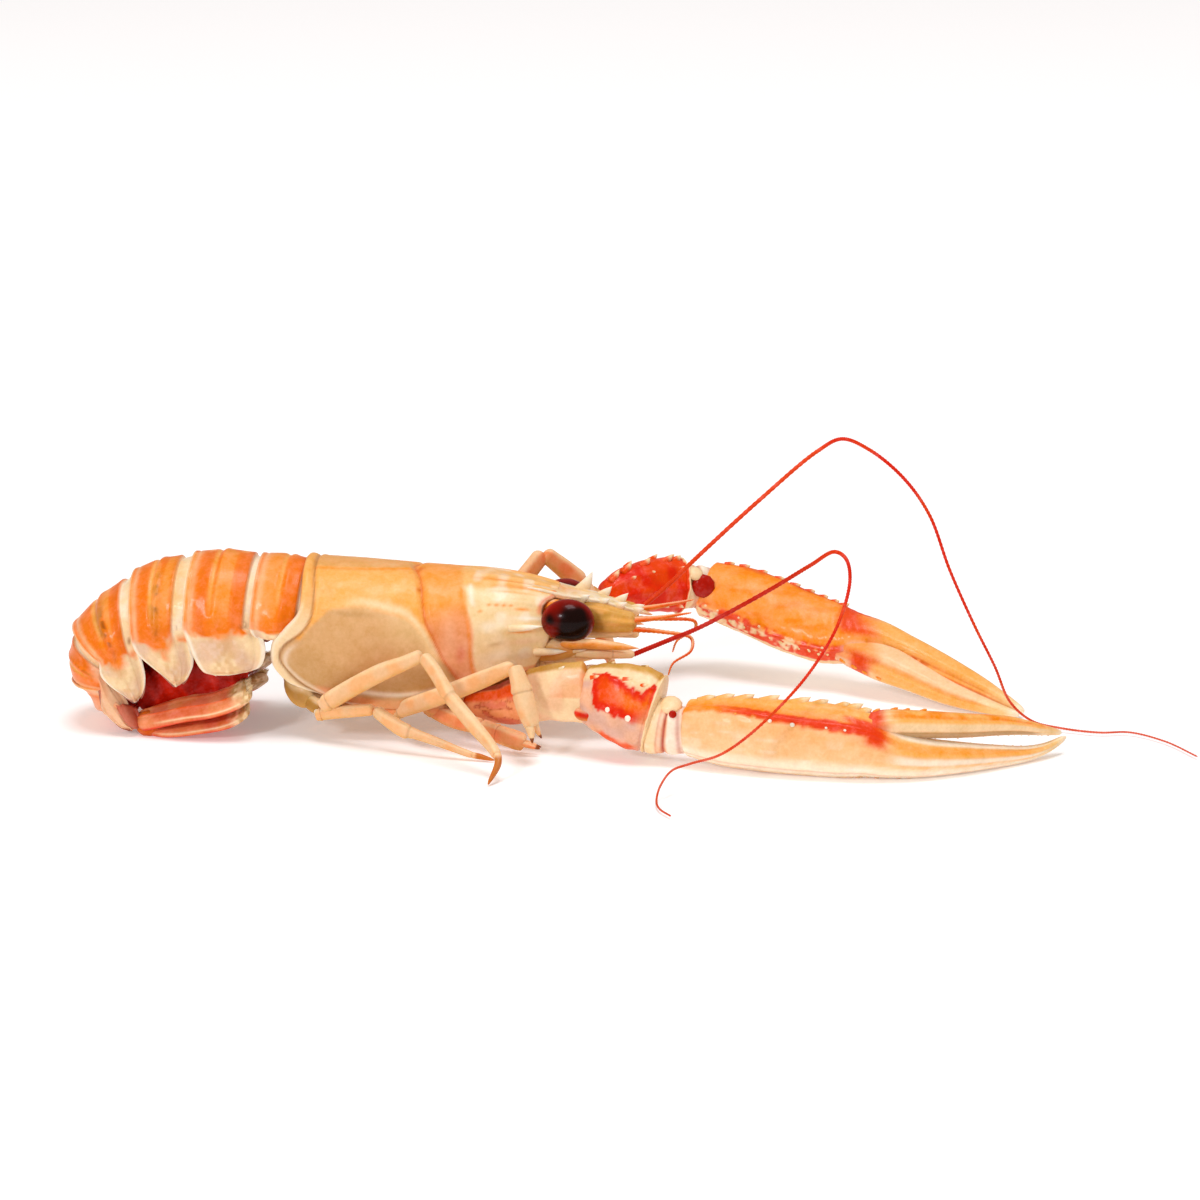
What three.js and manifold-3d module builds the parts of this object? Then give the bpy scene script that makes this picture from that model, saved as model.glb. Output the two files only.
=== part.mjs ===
// A cooked langoustine lying on its belly, tail curled under, claws stretched forward.
// Millimetres, +X towards the claws, +Y the animal's left, +Z up, resting on z = 0.
// Every shell plate, limb joint and feeler is a solid of its own, a hair's breadth from its neighbours.
import * as THREE from "three";
import { mergeVertices } from "three/addons/utils/BufferGeometryUtils.js";
import Module from "manifold-3d";

const wasm = await Module();
wasm.setup();

// ---------- driving dimensions ----------
const GAP = 0.3; // clearance between neighbouring plates
const ORIGIN = [56.5, -3.9, 0]; // drafting-frame point that becomes the origin, under the middle of the whole
const MIRROR_Y = [1, -1]; // left side, right side

// Carapace: values along x, each a list of [x, value].
const SHELL = {
  lowestAngle: 140, // degrees round from the back's middle to the shell's free lower edge
  tuckIn: 0.13, // share of the half width that the lower edge tucks in
  top: [[-17, 35.3], [-8.5, 35.5], [1.8, 35.1], [13.1, 34.2], [26.4, 32.9], [36.7, 31.4], [44, 28.6]],
  bottom: [[-17, 15.5], [-12.6, 12.4], [-7.4, 10.3], [0.7, 8], [11, 7], [20.8, 9], [31.4, 13.2], [44, 15.8]],
  halfWidth: [[-17, 12.4], [-8, 13.1], [2, 13.6], [12, 13.5], [22, 12.7], [30, 11.4], [37, 9.8], [44, 7.8]],
  widestShare: 0.52, // depth below the back of the widest level, as a share of the height
  // Rear and front edges: [degrees round, x].
  rear: [[0, -8.5], [35, -6.8], [57, -5.2], [78, -7.4], [92, -11.9], [105, -15.2], [118, -15.8], [130, -12.6], [140, -8]],
  front: [[0, 42], [30, 41.5], [48, 38.6], [70, 38.2], [86, 41.2], [100, 40.6], [120, 40], [140, 38]],
  cavityTop: 13, // height of the hollow under the body, where the legs hang
  cavityInset: 3.2,
};
const NECK_GROOVE = { line: [[0, 13.1], [52, 16.2], [88, 19.5], [128, 25], [140, 26.5]], deep: 0.9, wide: 1.7 };
const ROSTRUM = {
  stations: [[37, 0, 29.6, 4.6, 1.7], [44, 0, 27.6, 3.7, 1.4], [51, 0, 25.3, 2.5, 1.1], [57, 0, 23.8, 1.5, 0.8], [62.6, 0, 23.4, 0.4, 0.3]],
  toothAt: [[45.5, 3.6, 4], [50.2, 2.9, 2.8], [54.6, 2, 2.2]], // x, half width and height of each pair of side teeth
};

// Head spines, right side: [x, y, z, half width, half depth] from root to point.
const HEAD_SPINES = [
  [[33, -10.6, 24, 0.9, 0.9], [36.4, -10.6, 24.2, 0.8, 0.8], [40.2, -10.4, 24.6, 0.15, 0.15]],
  [[38.6, -9, 19, 1, 1], [41.8, -9.4, 19, 0.8, 0.8], [45, -9.6, 19.2, 0.15, 0.15]],
];

// Tail: each border between plates has a point on the back and a point on the side hinge, in the x-z plane.
const BORDERS = [
  { back: [-4.6, 34.3], hinge: [-6, 23], halfWidth: 11.4 },
  { back: [-18.4, 35.8], hinge: [-19.4, 23.5], halfWidth: 12.3 },
  { back: [-32.4, 35.9], hinge: [-33, 23.2], halfWidth: 12.5 },
  { back: [-45, 32], hinge: [-43.6, 20], halfWidth: 12.1 },
  { back: [-57.4, 20.6], hinge: [-50.6, 15.4], halfWidth: 11.3 },
  { back: [-58.6, 8.2], hinge: [-50.6, 9.2], halfWidth: 10.4 },
  { back: [-46.2, 0.5], hinge: [-43.6, 5.2], halfWidth: 9.6 },
];
const PLATE = { bellyShare: 0.3, facetShare: 0.2, facetStep: 0.8, bulge: 0.55, rearFlare: 0.35 };
// Side flaps: [x, y, z, half length, half thickness] from the hinge down, right side.
const FLAPS = [
  [[-14.5, -11.6, 24], [-13.8, -11.9, 21.4], [-13.2, -11.6, 18.9]],
  [[-25.2, -12, 23.6], [-24, -12.4, 18.6], [-23.4, -12, 13.9]],
  [[-38.4, -12, 23], [-37.2, -12.3, 16.6], [-35, -11.8, 10.6]],
  [[-47.4, -11.5, 19], [-45.8, -12, 12.8], [-43, -11.3, 7]],
  [[-54, -10.2, 12.4], [-50, -11, 7.4], [-45, -10.7, 1.9]],
];
const FLAP_SIZES = [
  [[4, 0.9], [3.7, 0.9], [2, 0.6]],
  [[6.6, 1], [7.5, 1], [5.6, 0.6]],
  [[5.6, 1], [4.6, 1], [0.9, 0.5]],
  [[5, 1], [4.2, 0.9], [0.9, 0.5]],
  [[3.6, 0.9], [3.6, 0.9], [1.4, 0.5]],
];

// Tail fan: [x, y, z, half width, half thickness], right side where paired.
const FAN = {
  telson: [[-44.6, 0, 0.9, 4.2, 0.8], [-37, 0, 0.65, 5.2, 0.8], [-28, 0, 1.1, 5, 0.7], [-24, 0, 2, 3.6, 0.4]],
  inner: [[-42.6, -7.2, 1.5, 2.4, 1.1], [-36, -8, 2.1, 4.3, 0.8], [-28, -8.7, 3.3, 4.8, 0.8], [-20.8, -8.8, 5.8, 3.2, 0.5]],
  outer: [[-44, -10.4, 2.5, 2.4, 2.2], [-39.8, -10.6, 3.8, 3.6, 1.2], [-30, -10.7, 5.9, 4.8, 0.8], [-22.6, -10.9, 8.3, 4.4, 0.6], [-18.9, -10.9, 10.8, 2.8, 0.4]],
};

// Limbs: [x, y, z, half width, half depth] along each.
const EYE = { at: [45.2, -8.6, 25.2], half: [5.4, 3.9, 4.5], stalk: [[40.5, -2.5, 27, 2.2, 2.2], [45, -7, 25.4, 2.4, 2.4]] };
const FEELER_BASE = [[41.5, -6.4, 16.6, 2.2, 2.4], [46.5, -7.2, 17.4, 2.5, 2.5], [52.3, -7.6, 18.2, 2, 2], [57.6, -7.2, 18, 1.4, 1.4]];
const FEELER_SCALE = [[44.5, -10, 20.2, 1.4, 0.5], [51, -10.3, 20.8, 2.2, 0.6], [59.4, -9.6, 21.4, 0.6, 0.3]];
const SHORT_FEELER = {
  base: [[45.8, -2.8, 22.6, 2, 2.3], [52, -3.2, 22, 2, 2.6], [58.2, -3.4, 21.9, 1.4, 1.9]],
  upper: [[57, -3.3, 23.4, 0.8, 0.8], [63, -4, 25, 0.65, 0.65], [70, -4.6, 26.4, 0.25, 0.25]],
  lower: [[57, -3.6, 21.6, 0.75, 0.75], [64, -5, 22, 0.6, 0.6], [70, -6.6, 21.6, 0.45, 0.45], [70, -8, 19.4, 0.35, 0.35],
    [66.4, -8.6, 16.8, 0.3, 0.3], [65.4, -8.6, 14.2, 0.25, 0.25]],
};
const JAW_LEG = [[33, -4.5, 10, 2, 2.2], [39, -7.6, 11, 2, 2.1], [49, -8.6, 14.4, 1.7, 1.9], [56.5, -8.4, 14.4, 1, 1.1]];
const WHIP = {
  thick: 0.72, // half thickness at the root
  thin: 0.32,
  right: [[58, -7.2, 18], [65, -8.4, 21.4], [71.9, -10, 24.9], [85.9, -14, 34], [94, -17, 40], [98.6, -19.4, 43.4], [101, -22, 42.6],
    [101.8, -24.5, 39], [99.8, -28, 31.4], [95.6, -32.4, 24.4], [90.6, -36.4, 18.7], [82.2, -40.4, 11.2], [77, -42, 8],
    [71.5, -42.4, 6.3], [68, -43.6, 5.2], [66, -46, 3], [65.4, -50, 1.2], [66.2, -54, 0.8], [68.6, -58, 0.7]],
  left: [[58, 7.2, 23.2], [64, 7.6, 28.4], [71, 8, 35.4], [83, 9, 46.8], [94.8, 10, 57.1], [99.6, 10.8, 59.5], [105.2, 11.6, 57.2],
    [112.4, 12, 51.2], [117.8, 12, 43.6], [122.2, 10, 32.5], [127.4, 7.6, 21.6], [131.8, 5.2, 13.4], [135, 4, 6.4], [139.6, 4, 2.4],
    [145.4, 4, 1], [153.3, 2, 0.8], [159.4, 2.6, 0.8], [166, -2.6, 0.7], [172, -13, 0.7]],
  steps: 37,
  sides: 5,
};
// Walking legs: the first list is the upper limb, the second the lower limb.
const LEGS = {
  leg_2_right: [[[16, -7, 7.4, 1.8, 1.9], [22, -11, 6.4, 1.6, 1.8], [28, -14.5, 7, 1.4, 1.5]],
    [[28, -14.5, 7, 1.3, 1.4], [33, -17.4, 5.4, 1.3, 1.7], [39, -19, 3.6, 1.4, 2], [46, -18.4, 1.6, 0.5, 0.6]]],
  leg_3_right: [[[8, -8, 6.6, 1.9, 2], [20, -14.4, 10.6, 1.5, 2.1], [34.6, -21, 18.9, 1.2, 1.8]],
    [[34.9, -21.2, 18.7, 1.3, 1.7], [36.6, -23.4, 13, 1.5, 2.2], [38.4, -25, 8.6, 1.4, 1.8], [42.8, -25.6, 4.8, 0.4, 0.6]]],
  leg_4_right: [[[-2, -8.4, 8, 1.8, 1.9], [6, -14.6, 13.6, 1.4, 1.9], [15.9, -20.2, 20.4, 1.2, 1.6]],
    [[16.2, -20.6, 20.4, 1.3, 1.5], [23.1, -26, 15.2, 1.2, 1.6], [33, -34, 5.4, 1, 1.4], [31.8, -40.4, 0.5, 0.3, 0.4]]],
  leg_5_right: [[[-6.4, -7.4, 6.4, 1.7, 1.8], [-0.6, -11.6, 6, 1.2, 1.4], [5.8, -15.4, 7.6, 1, 1.2]],
    [[6, -15.6, 7.4, 1.1, 1.3], [12.8, -19.2, 3.2, 1.2, 1.3], [27, -23.4, 1.4, 0.8, 0.8], [32.6, -24.6, 0.6, 0.3, 0.4]]],
  leg_2_left: [[[21, 7.4, 9, 1.8, 1.9], [29, 14.8, 21, 1.5, 2], [37.8, 20, 32.2, 1.3, 1.8]],
    [[38.1, 20.2, 32.2, 1.3, 1.7], [45.4, 22.6, 24.4, 1.4, 2.2], [50.8, 20.8, 12.5, 1.3, 1.8], [53.4, 18, 3.6, 0.4, 0.5]]],
  leg_3_left: [[[9, 8, 6.8, 1.9, 2], [17, 16, 12.6, 1.5, 2], [26, 24, 18, 1.2, 1.7]],
    [[26.3, 24.3, 18, 1.3, 1.7], [31.4, 28.8, 13, 1.4, 2.1], [35.6, 34, 7, 1.3, 1.7], [38.6, 38.4, 2.6, 0.4, 0.5]]],
  leg_4_left: [[[-1.4, 8.4, 8, 1.8, 1.9], [5, 15.4, 12, 1.4, 1.9], [11.6, 22, 15.6, 1.2, 1.6]],
    [[11.8, 22.4, 15.6, 1.3, 1.5], [16, 27.4, 11.6, 1.2, 1.6], [21.6, 34.4, 3.8, 1, 1.3], [20.6, 39.6, 0.5, 0.3, 0.4]]],
  leg_5_left: [[[-6, 7.4, 6.6, 1.7, 1.8], [-3, 13, 7.4, 1.2, 1.4], [0, 18.6, 8.6, 1, 1.2]],
    [[0.2, 18.9, 8.5, 1.1, 1.3], [4, 23.6, 5.2, 1.1, 1.2], [11, 30.6, 1.5, 0.8, 0.8], [14.6, 33, 0.5, 0.3, 0.4]]],
};
// Swimmerets under the tail: [x, y, z, half width, half thickness], right side.
const SWIMMERETS = [
  [[-23.4, -5.4, 20.4, 1, 0.8], [-23.4, -6.6, 15.8, 3.2, 0.7], [-23, -6.8, 10.6, 2.2, 0.4]],
  [[-33, -5.4, 19.4, 1, 0.8], [-31.4, -6.6, 15, 3.4, 0.7], [-29.4, -6.8, 9.6, 2.3, 0.4]],
  [[-41, -5.2, 16.4, 1, 0.8], [-38.2, -6.4, 13, 3.2, 0.7], [-35, -6.6, 8.8, 2.2, 0.4]],
  [[-45.4, -5, 11.4, 1, 0.8], [-42.6, -6.2, 9, 2.4, 0.7], [-39.4, -6.4, 6.8, 1.6, 0.4]],
];
const UNDERSIDE = [[-14.4, 0, 10.6, 5.6, 2.6], [-7, 0, 8.7, 7.6, 3.5], [6, 0, 8.1, 8.2, 3.9], [20, 0, 8.5, 7.8, 3.7], [33, 0, 10.8, 5.8, 2.9], [39, 0, 12.4, 4, 2]];

// Claws. spread points from the fixed finger to the hinged one; length runs from wrist to fingertip.
const CLAWS = {
  right: {
    arm: [[24, -7.6, 7, 2.6, 2.8], [36, -13, 7.6, 2.7, 3.6], [47.6, -17, 10.4, 3, 4.4]],
    wrist: [[46.6, -16.6, 10.6, 2.8, 3], [53, -18, 11.8, 4.8, 5.8], [61, -19.8, 11, 5.5, 7.3], [70, -22.6, 8.4, 4.6, 6.6]],
    hand: [[70.4, -23, 7.5, 3.6, 5], [78, -25, 7.6, 4.5, 6.8], [90, -27.4, 7.5, 4.8, 7.4], [102, -28.6, 7, 4.8, 7.2], [109, -28.4, 6.2, 4.3, 6.2]],
    fixed: [[103, -28.4, 4.4, 4, 4.4], [113, -27.4, 3.9, 3.4, 3.9], [124, -22.8, 3.1, 2.7, 3.1], [135, -16.6, 2.4, 1.8, 2.1], [146, -9.8, 4.2, 0.5, 0.6]],
    hinged: [[106.6, -28.2, 10.6, 2.9, 2.8], [113, -26.8, 10.6, 2.7, 2.7], [124, -21.8, 9.6, 2.2, 2.3], [135, -15.6, 7.9, 1.5, 1.8], [145.4, -9.6, 5.6, 0.4, 0.5]],
    spread: [0, 0.1, 1],
  },
  left: {
    arm: [[27, 7.6, 8, 2.6, 2.8], [38, 18, 13.6, 2.7, 3.6], [49.4, 30.6, 19.4, 3, 4.2]],
    wrist: [[49, 30.4, 19.2, 2.8, 3], [55, 36, 20.4, 4.4, 5], [62, 41.6, 20, 5, 5.9], [70.8, 46.2, 17.8, 4.4, 5.8]],
    hand: [[71.2, 46.4, 17.4, 3.6, 4.8], [79, 43.6, 15.8, 4.4, 6.3], [90, 39, 12.9, 4.8, 6.9], [101, 34, 10, 4.8, 6.7], [108, 30.6, 8.2, 4.3, 5.8]],
    fixed: [[103, 34.4, 10.8, 3.9, 4.1], [112, 31.4, 9, 3.3, 3.6], [121, 26.4, 6.4, 2.6, 2.9], [130, 20.2, 3.6, 1.8, 2], [138.4, 13.2, 1.4, 0.5, 0.6]],
    hinged: [[105.4, 28, 5.8, 2.8, 2.7], [111, 25.2, 4.8, 2.6, 2.6], [120, 21, 3.3, 2.1, 2.3], [129, 16.4, 2, 1.5, 1.7], [137.4, 12.2, 1, 0.4, 0.5]],
    spread: [-0.35, -0.7, -0.62],
  },
};
const HAND_TEETH = { rows: [3, 20], edgeEvery: 3, edgeRise: 1.2, rootRise: 0.4 };

// ---------- tools ----------
const vec = (p) => new THREE.Vector3(p[0], p[1], p[2]);
const along = (table, x) => {
  const last = table.length - 1;
  let i = 0;
  while (i < last - 1 && x > table[i + 1][0]) i++;
  const [x0, v0] = table[i];
  const [x1, v1] = table[i + 1];
  const t = THREE.MathUtils.clamp((x - x0) / (x1 - x0), 0, 1);
  const slope = (a, b) => (a < 0 || b > last ? (v1 - v0) / (x1 - x0) : (table[b][1] - table[a][1]) / (table[b][0] - table[a][0]));
  const m0 = slope(i - 1, i + 1) * (x1 - x0);
  const m1 = slope(i, i + 2) * (x1 - x0);
  return (2 * t ** 3 - 3 * t ** 2 + 1) * v0 + (t ** 3 - 2 * t ** 2 + t) * m0 + (3 * t ** 2 - 2 * t ** 3) * v1 + (t ** 3 - t ** 2) * m1;
};

// A closed skin: rows run along the piece, columns round it, and the first and last rows are single points.
function skin(columns, rows, place) {
  const geometry = new THREE.SphereGeometry(1, columns, rows);
  const position = geometry.getAttribute("position");
  for (let row = 0; row <= rows; row++) {
    for (let column = 0; column <= columns; column++) {
      const p = place(row, (column % columns) / columns);
      position.setXYZ(row * (columns + 1) + column, p.x, p.y, p.z);
    }
  }
  return solidOf(geometry);
}

function solidOf(geometry) {
  geometry.deleteAttribute("normal");
  geometry.deleteAttribute("uv");
  const merged = mergeVertices(geometry, 1e-4);
  const triVerts = new Uint32Array(merged.index.array);
  const make = () => new wasm.Manifold(new wasm.Mesh({ numProp: 3, vertProperties: merged.getAttribute("position").array, triVerts }));
  const made = make();
  if (made.volume() > 0) return made;
  for (let i = 0; i < triVerts.length; i += 3) [triVerts[i], triVerts[i + 1]] = [triVerts[i + 1], triVerts[i]];
  return make();
}

// A limb along a smooth path with an oval section. Its stations are [x, y, z, half width, half depth].
function limb(stations, columns, rows, options = {}) {
  const { up = [0, 0, 1], grow = 0, boxy = 1, rise = () => 0 } = options;
  const path = new THREE.CatmullRomCurve3(stations.map(vec));
  const size = new THREE.CatmullRomCurve3(stations.map((s) => new THREE.Vector3(s[3], s[4], 0)));
  const upward = vec(up).normalize();
  const square = (v) => Math.sign(v) * Math.abs(v) ** boxy;
  return skin(columns, rows, (row, turn) => {
    const inner = (row - 1) / (rows - 2);
    const s = THREE.MathUtils.clamp(0.03 + 0.94 * inner, 0, 1);
    const tangent = path.getTangent(s);
    const centre = path.getPoint(row === 0 ? 0 : row === rows ? 1 : s);
    if (row === 0) return centre.addScaledVector(tangent, -grow);
    if (row === rows) return centre.addScaledVector(tangent, grow);
    const side = new THREE.Vector3().crossVectors(tangent, upward).normalize();
    const top = new THREE.Vector3().crossVectors(side, tangent).normalize();
    const half = size.getPoint(s);
    const shrink = row === 1 || row === rows - 1 ? 0.8 : 1;
    const angle = turn * 2 * Math.PI;
    const lift = rise(row, angle);
    return centre
      .addScaledVector(side, square(Math.cos(angle)) * (half.x * shrink + grow + lift * Math.abs(Math.cos(angle))))
      .addScaledVector(top, square(Math.sin(angle)) * (half.y * shrink + grow + lift * Math.abs(Math.sin(angle))));
  });
}

const flipped = (stations) => stations.map(([x, y, ...rest]) => [x, -y, ...rest]);
const joined = (solids) => wasm.Manifold.union(solids);

// ---------- shapes ----------
function shellPoint(degrees, x, grow) {
  const turn = Math.abs(degrees);
  const top = along(SHELL.top, x);
  const bottom = along(SHELL.bottom, x);
  const middle = top - SHELL.widestShare * (top - bottom);
  const below = Math.max(0, turn - 90) / (SHELL.lowestAngle - 90);
  const groove = Math.abs(x - along(NECK_GROOVE.line, turn)) / NECK_GROOVE.wide;
  const dip = groove < 1 ? NECK_GROOVE.deep * (1 - groove ** 2) : 0;
  const half = along(SHELL.halfWidth, x) + grow - dip;
  const radians = THREE.MathUtils.degToRad(Math.min(turn, 90));
  const y = half * Math.sin(radians) ** 0.9 * (1 - SHELL.tuckIn * below ** 2);
  const z = below > 0 ? middle - (middle - bottom + grow) * below : middle + (top - middle + grow - dip) * Math.cos(radians) ** 0.92;
  return new THREE.Vector3(x, Math.sign(degrees) * y, z);
}

function carapace(grow) {
  const columns = 28;
  const rows = 18;
  const hollow = 6; // columns across the underside
  const outer = columns - hollow;
  const shell = skin(columns, rows, (row, turn) => {
    if (row === 0) return new THREE.Vector3(-3.5 - grow, 0, 23);
    if (row === rows) return new THREE.Vector3(39 + grow, 0, 22);
    const column = Math.round(turn * columns);
    const share = (row - 1) / (rows - 2);
    const degrees = SHELL.lowestAngle * (column <= outer ? 1 - (2 * column) / outer : -1);
    const at = (angle) => THREE.MathUtils.lerp(along(SHELL.rear, Math.abs(angle)) - grow, along(SHELL.front, Math.abs(angle)) + grow, share);
    if (column <= outer) return shellPoint(degrees, at(degrees), grow);
    const across = 1 - (2 * (column - outer)) / hollow; // 1 at the right edge, -1 at the left
    const edge = shellPoint(-SHELL.lowestAngle, at(SHELL.lowestAngle), grow);
    const roof = Math.max(edge.z + 1.2, SHELL.cavityTop - grow);
    return new THREE.Vector3(edge.x, -across * (Math.abs(edge.y) - SHELL.cavityInset / 2), Math.abs(across) > 0.9 ? edge.z : roof);
  });
  const spike = limb(ROSTRUM.stations, 8, 9, { grow, boxy: 0.8 });
  const teeth = ROSTRUM.toothAt.flatMap(([x, half, rise]) => MIRROR_Y.map((side) => {
    const foot = along(ROSTRUM.stations.map((s) => [s[0], s[2]]), x);
    return limb([[x - 1.6, side * (half - 1.3), foot - 0.6, 1, 1], [x + 0.4, side * (half - 0.5), foot + 1, 0.7, 0.7],
      [x + 1.6, side * half, foot + rise, 0.15, 0.15]], 4, 4, { grow: grow * 0.6 });
  }));
  const spines = HEAD_SPINES.flatMap((s) => [s, flipped(s)].map((t) => limb(t, 4, 4, { grow: grow * 0.6 })));
  return joined([shell, spike, ...teeth, ...spines]);
}

function tailPlate(index, grow) {
  const front = BORDERS[index];
  const rear = BORDERS[index + 1];
  const columns = 16;
  const rows = 8;
  // Share of the plate's length and rise of its surface at each ring.
  const rings = [[0.02, -PLATE.facetStep], [PLATE.facetShare, -PLATE.facetStep], [PLATE.facetShare + 0.05, 0.1], [0.45, PLATE.bulge],
    [0.66, PLATE.bulge * 0.5], [0.82, PLATE.bulge], [0.985, PLATE.rearFlare]];
  const between = (share) => {
    const back = new THREE.Vector2(...front.back).lerp(new THREE.Vector2(...rear.back), share);
    const hinge = new THREE.Vector2(...front.hinge).lerp(new THREE.Vector2(...rear.hinge), share);
    return { back, hinge, half: THREE.MathUtils.lerp(front.halfWidth, rear.halfWidth, share) };
  };
  const plate = skin(columns, rows, (row, turn) => {
    const end = row === 0 || row === rows;
    const [share, lift] = end ? [row === 0 ? 0.02 - grow / 20 : 0.985 + grow / 20, 0] : rings[row - 1];
    const at = between(share);
    const spoke = at.back.clone().sub(at.hinge);
    if (end) return new THREE.Vector3(at.hinge.x + spoke.x * 0.3, 0, at.hinge.y + spoke.y * 0.3);
    const stretch = (spoke.length() + lift + grow) / spoke.length();
    const angle = turn * 2 * Math.PI;
    const height = Math.cos(angle) * (Math.cos(angle) > 0 ? stretch : PLATE.bellyShare * stretch);
    return new THREE.Vector3(at.hinge.x + spoke.x * height, Math.sin(angle) * (at.half + lift + grow), at.hinge.y + spoke.y * height);
  });
  if (index >= FLAPS.length) return plate;
  const stations = FLAPS[index].map((p, i) => [...p, ...FLAP_SIZES[index][i]]);
  return joined([plate, ...[stations, flipped(stations)].map((s) => limb(s, 8, 6, { up: [0, 1, 0], grow }))]);
}

function eye(stations, at, grow) {
  const ball = skin(12, 8, (row, turn) => {
    const tilt = (row / 8) * Math.PI;
    const angle = turn * 2 * Math.PI;
    return new THREE.Vector3(
      at[0] - Math.cos(tilt) * (EYE.half[0] + grow),
      at[1] + Math.sin(tilt) * Math.cos(angle) * (EYE.half[1] + grow),
      at[2] + Math.sin(tilt) * Math.sin(angle) * (EYE.half[2] + grow),
    );
  });
  return joined([ball, limb(stations, 6, 4, { grow })]);
}

function hand(claw, grow) {
  const rise = (row, angle) => {
    if (row < HAND_TEETH.rows[0] || row > HAND_TEETH.rows[1]) return 0;
    if (Math.abs(angle - Math.PI / 2) < 0.2) return row % HAND_TEETH.edgeEvery === 0 ? HAND_TEETH.edgeRise : 0;
    return Math.abs(angle - 1.5 * Math.PI) < 0.2 && row % 2 === 0 ? HAND_TEETH.rootRise : 0;
  };
  const palm = limb(claw.hand, 12, 22, { up: claw.spread, grow, boxy: 0.88, rise });
  const finger = limb(claw.fixed, 10, 12, { up: claw.spread, grow, boxy: 0.9 });
  return joined([palm, finger]);
}

function wrist(claw, grow) {
  const rise = (row, angle) => (row % 3 === 0 && row < 9 && Math.abs(angle - Math.PI / 2) < 0.3 ? 1 : 0);
  return limb(claw.wrist, 12, 10, { up: claw.spread, grow, rise });
}

function shortFeeler(flip, grow) {
  const side = (stations) => (flip ? flipped(stations) : stations);
  return joined([limb(side(SHORT_FEELER.base), 7, 6, { grow }), limb(side(SHORT_FEELER.upper), 4, 5, { grow }),
    limb(side(SHORT_FEELER.lower), 4, 10, { grow })]);
}

function whip(points, grow) {
  const stations = points.map((p, i) => {
    const half = THREE.MathUtils.lerp(WHIP.thick, WHIP.thin, i / (points.length - 1));
    return [...p, half, half];
  });
  return limb(stations, WHIP.sides, WHIP.steps, { up: [0.2, 1, 0.1], grow });
}

// ---------- colours ----------
const shade = (color, roughness = 0.35) => new THREE.MeshStandardMaterial({ color, roughness, metalness: 0 });
const MATERIALS = {
  shell: shade("#e8b679"),
  tail: shade("#f28a35"),
  fan: shade("#e58f66"),
  flesh: shade("#8f1509", 0.5),
  eye: shade("#2a0805", 0.12),
  limb: shade("#eebd85"),
  claw: shade("#f0a060"),
  wrist: shade("#e04a1c"),
  feeler: shade("#cf3a1c"),
};

// ---------- the animal ----------
// Earlier pieces keep their full form, and each later one is cut clear of them.
const SIDES = [["right", false], ["left", true]];
const sided = (stations, flip) => (flip ? flipped(stations) : stations);
const pieces = [
  ["carapace", "shell", carapace],
  ...[1, 0, 2, 3, 4, 5].map((i) => [`abdomen_${i + 1}`, "tail", (grow) => tailPlate(i, grow)]),
  ["telson", "fan", (grow) => limb(FAN.telson, 8, 9, { grow })],
  ...SIDES.flatMap(([name, flip]) => [
    [`tail_fan_inner_${name}`, "fan", (grow) => limb(sided(FAN.inner, flip), 8, 9, { grow })],
    [`tail_fan_outer_${name}`, "fan", (grow) => limb(sided(FAN.outer, flip), 8, 9, { grow })],
  ]),
  ...SIDES.map(([name, flip]) => [`eye_${name}`, "eye",
    (grow) => eye(sided(EYE.stalk, flip), sided([EYE.at], flip)[0], grow)]),
  ...SIDES.flatMap(([name, flip]) => [
    [`feeler_base_${name}`, "limb", (grow) => limb(sided(FEELER_BASE, flip), 8, 9, { grow })],
    [`feeler_scale_${name}`, "claw", (grow) => limb(sided(FEELER_SCALE, flip), 6, 6, { up: [0, 1, 0.3], grow })],
    [`short_feeler_${name}`, "feeler", (grow) => shortFeeler(flip, grow)],
    [`feeler_whip_${name}`, "feeler", (grow) => whip(WHIP[name], grow)],
    [`jaw_leg_${name}`, "limb", (grow) => limb(sided(JAW_LEG, flip), 7, 8, { grow })],
  ]),
  ...SIDES.flatMap(([name]) => [
    [`claw_hand_${name}`, "claw", (grow) => hand(CLAWS[name], grow)],
    [`claw_finger_${name}`, "claw", (grow) => limb(CLAWS[name].hinged, 9, 12, { up: CLAWS[name].spread, grow, boxy: 0.9 })],
    [`claw_wrist_${name}`, "wrist", (grow) => wrist(CLAWS[name], grow)],
    [`claw_arm_${name}`, "claw", (grow) => limb(CLAWS[name].arm, 9, 8, { grow })],
  ]),
  ...Object.entries(LEGS).flatMap(([name, [upper, lower]]) => [
    [`${name}_upper`, "limb", (grow) => limb(upper, 6, 6, { grow })],
    [`${name}_lower`, "limb", (grow) => limb(lower, 6, 8, { grow })],
  ]),
  ["underside", "limb", (grow) => limb(UNDERSIDE, 9, 8, { grow })],
  ...SWIMMERETS.flatMap((stations, i) => SIDES.map(([name, flip]) => [`swimmeret_${i + 1}_${name}`, "flesh",
    (grow) => limb(sided(stations, flip), 6, 6, { up: [0, 1, 0], grow })])),
];

const boxesMeet = (a, b) => [0, 1, 2].every((k) => a.min[k] - GAP <= b.max[k] && b.min[k] - GAP <= a.max[k]);
const largest = (solid) => solid.decompose().sort((a, b) => b.volume() - a.volume())[0];

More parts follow.
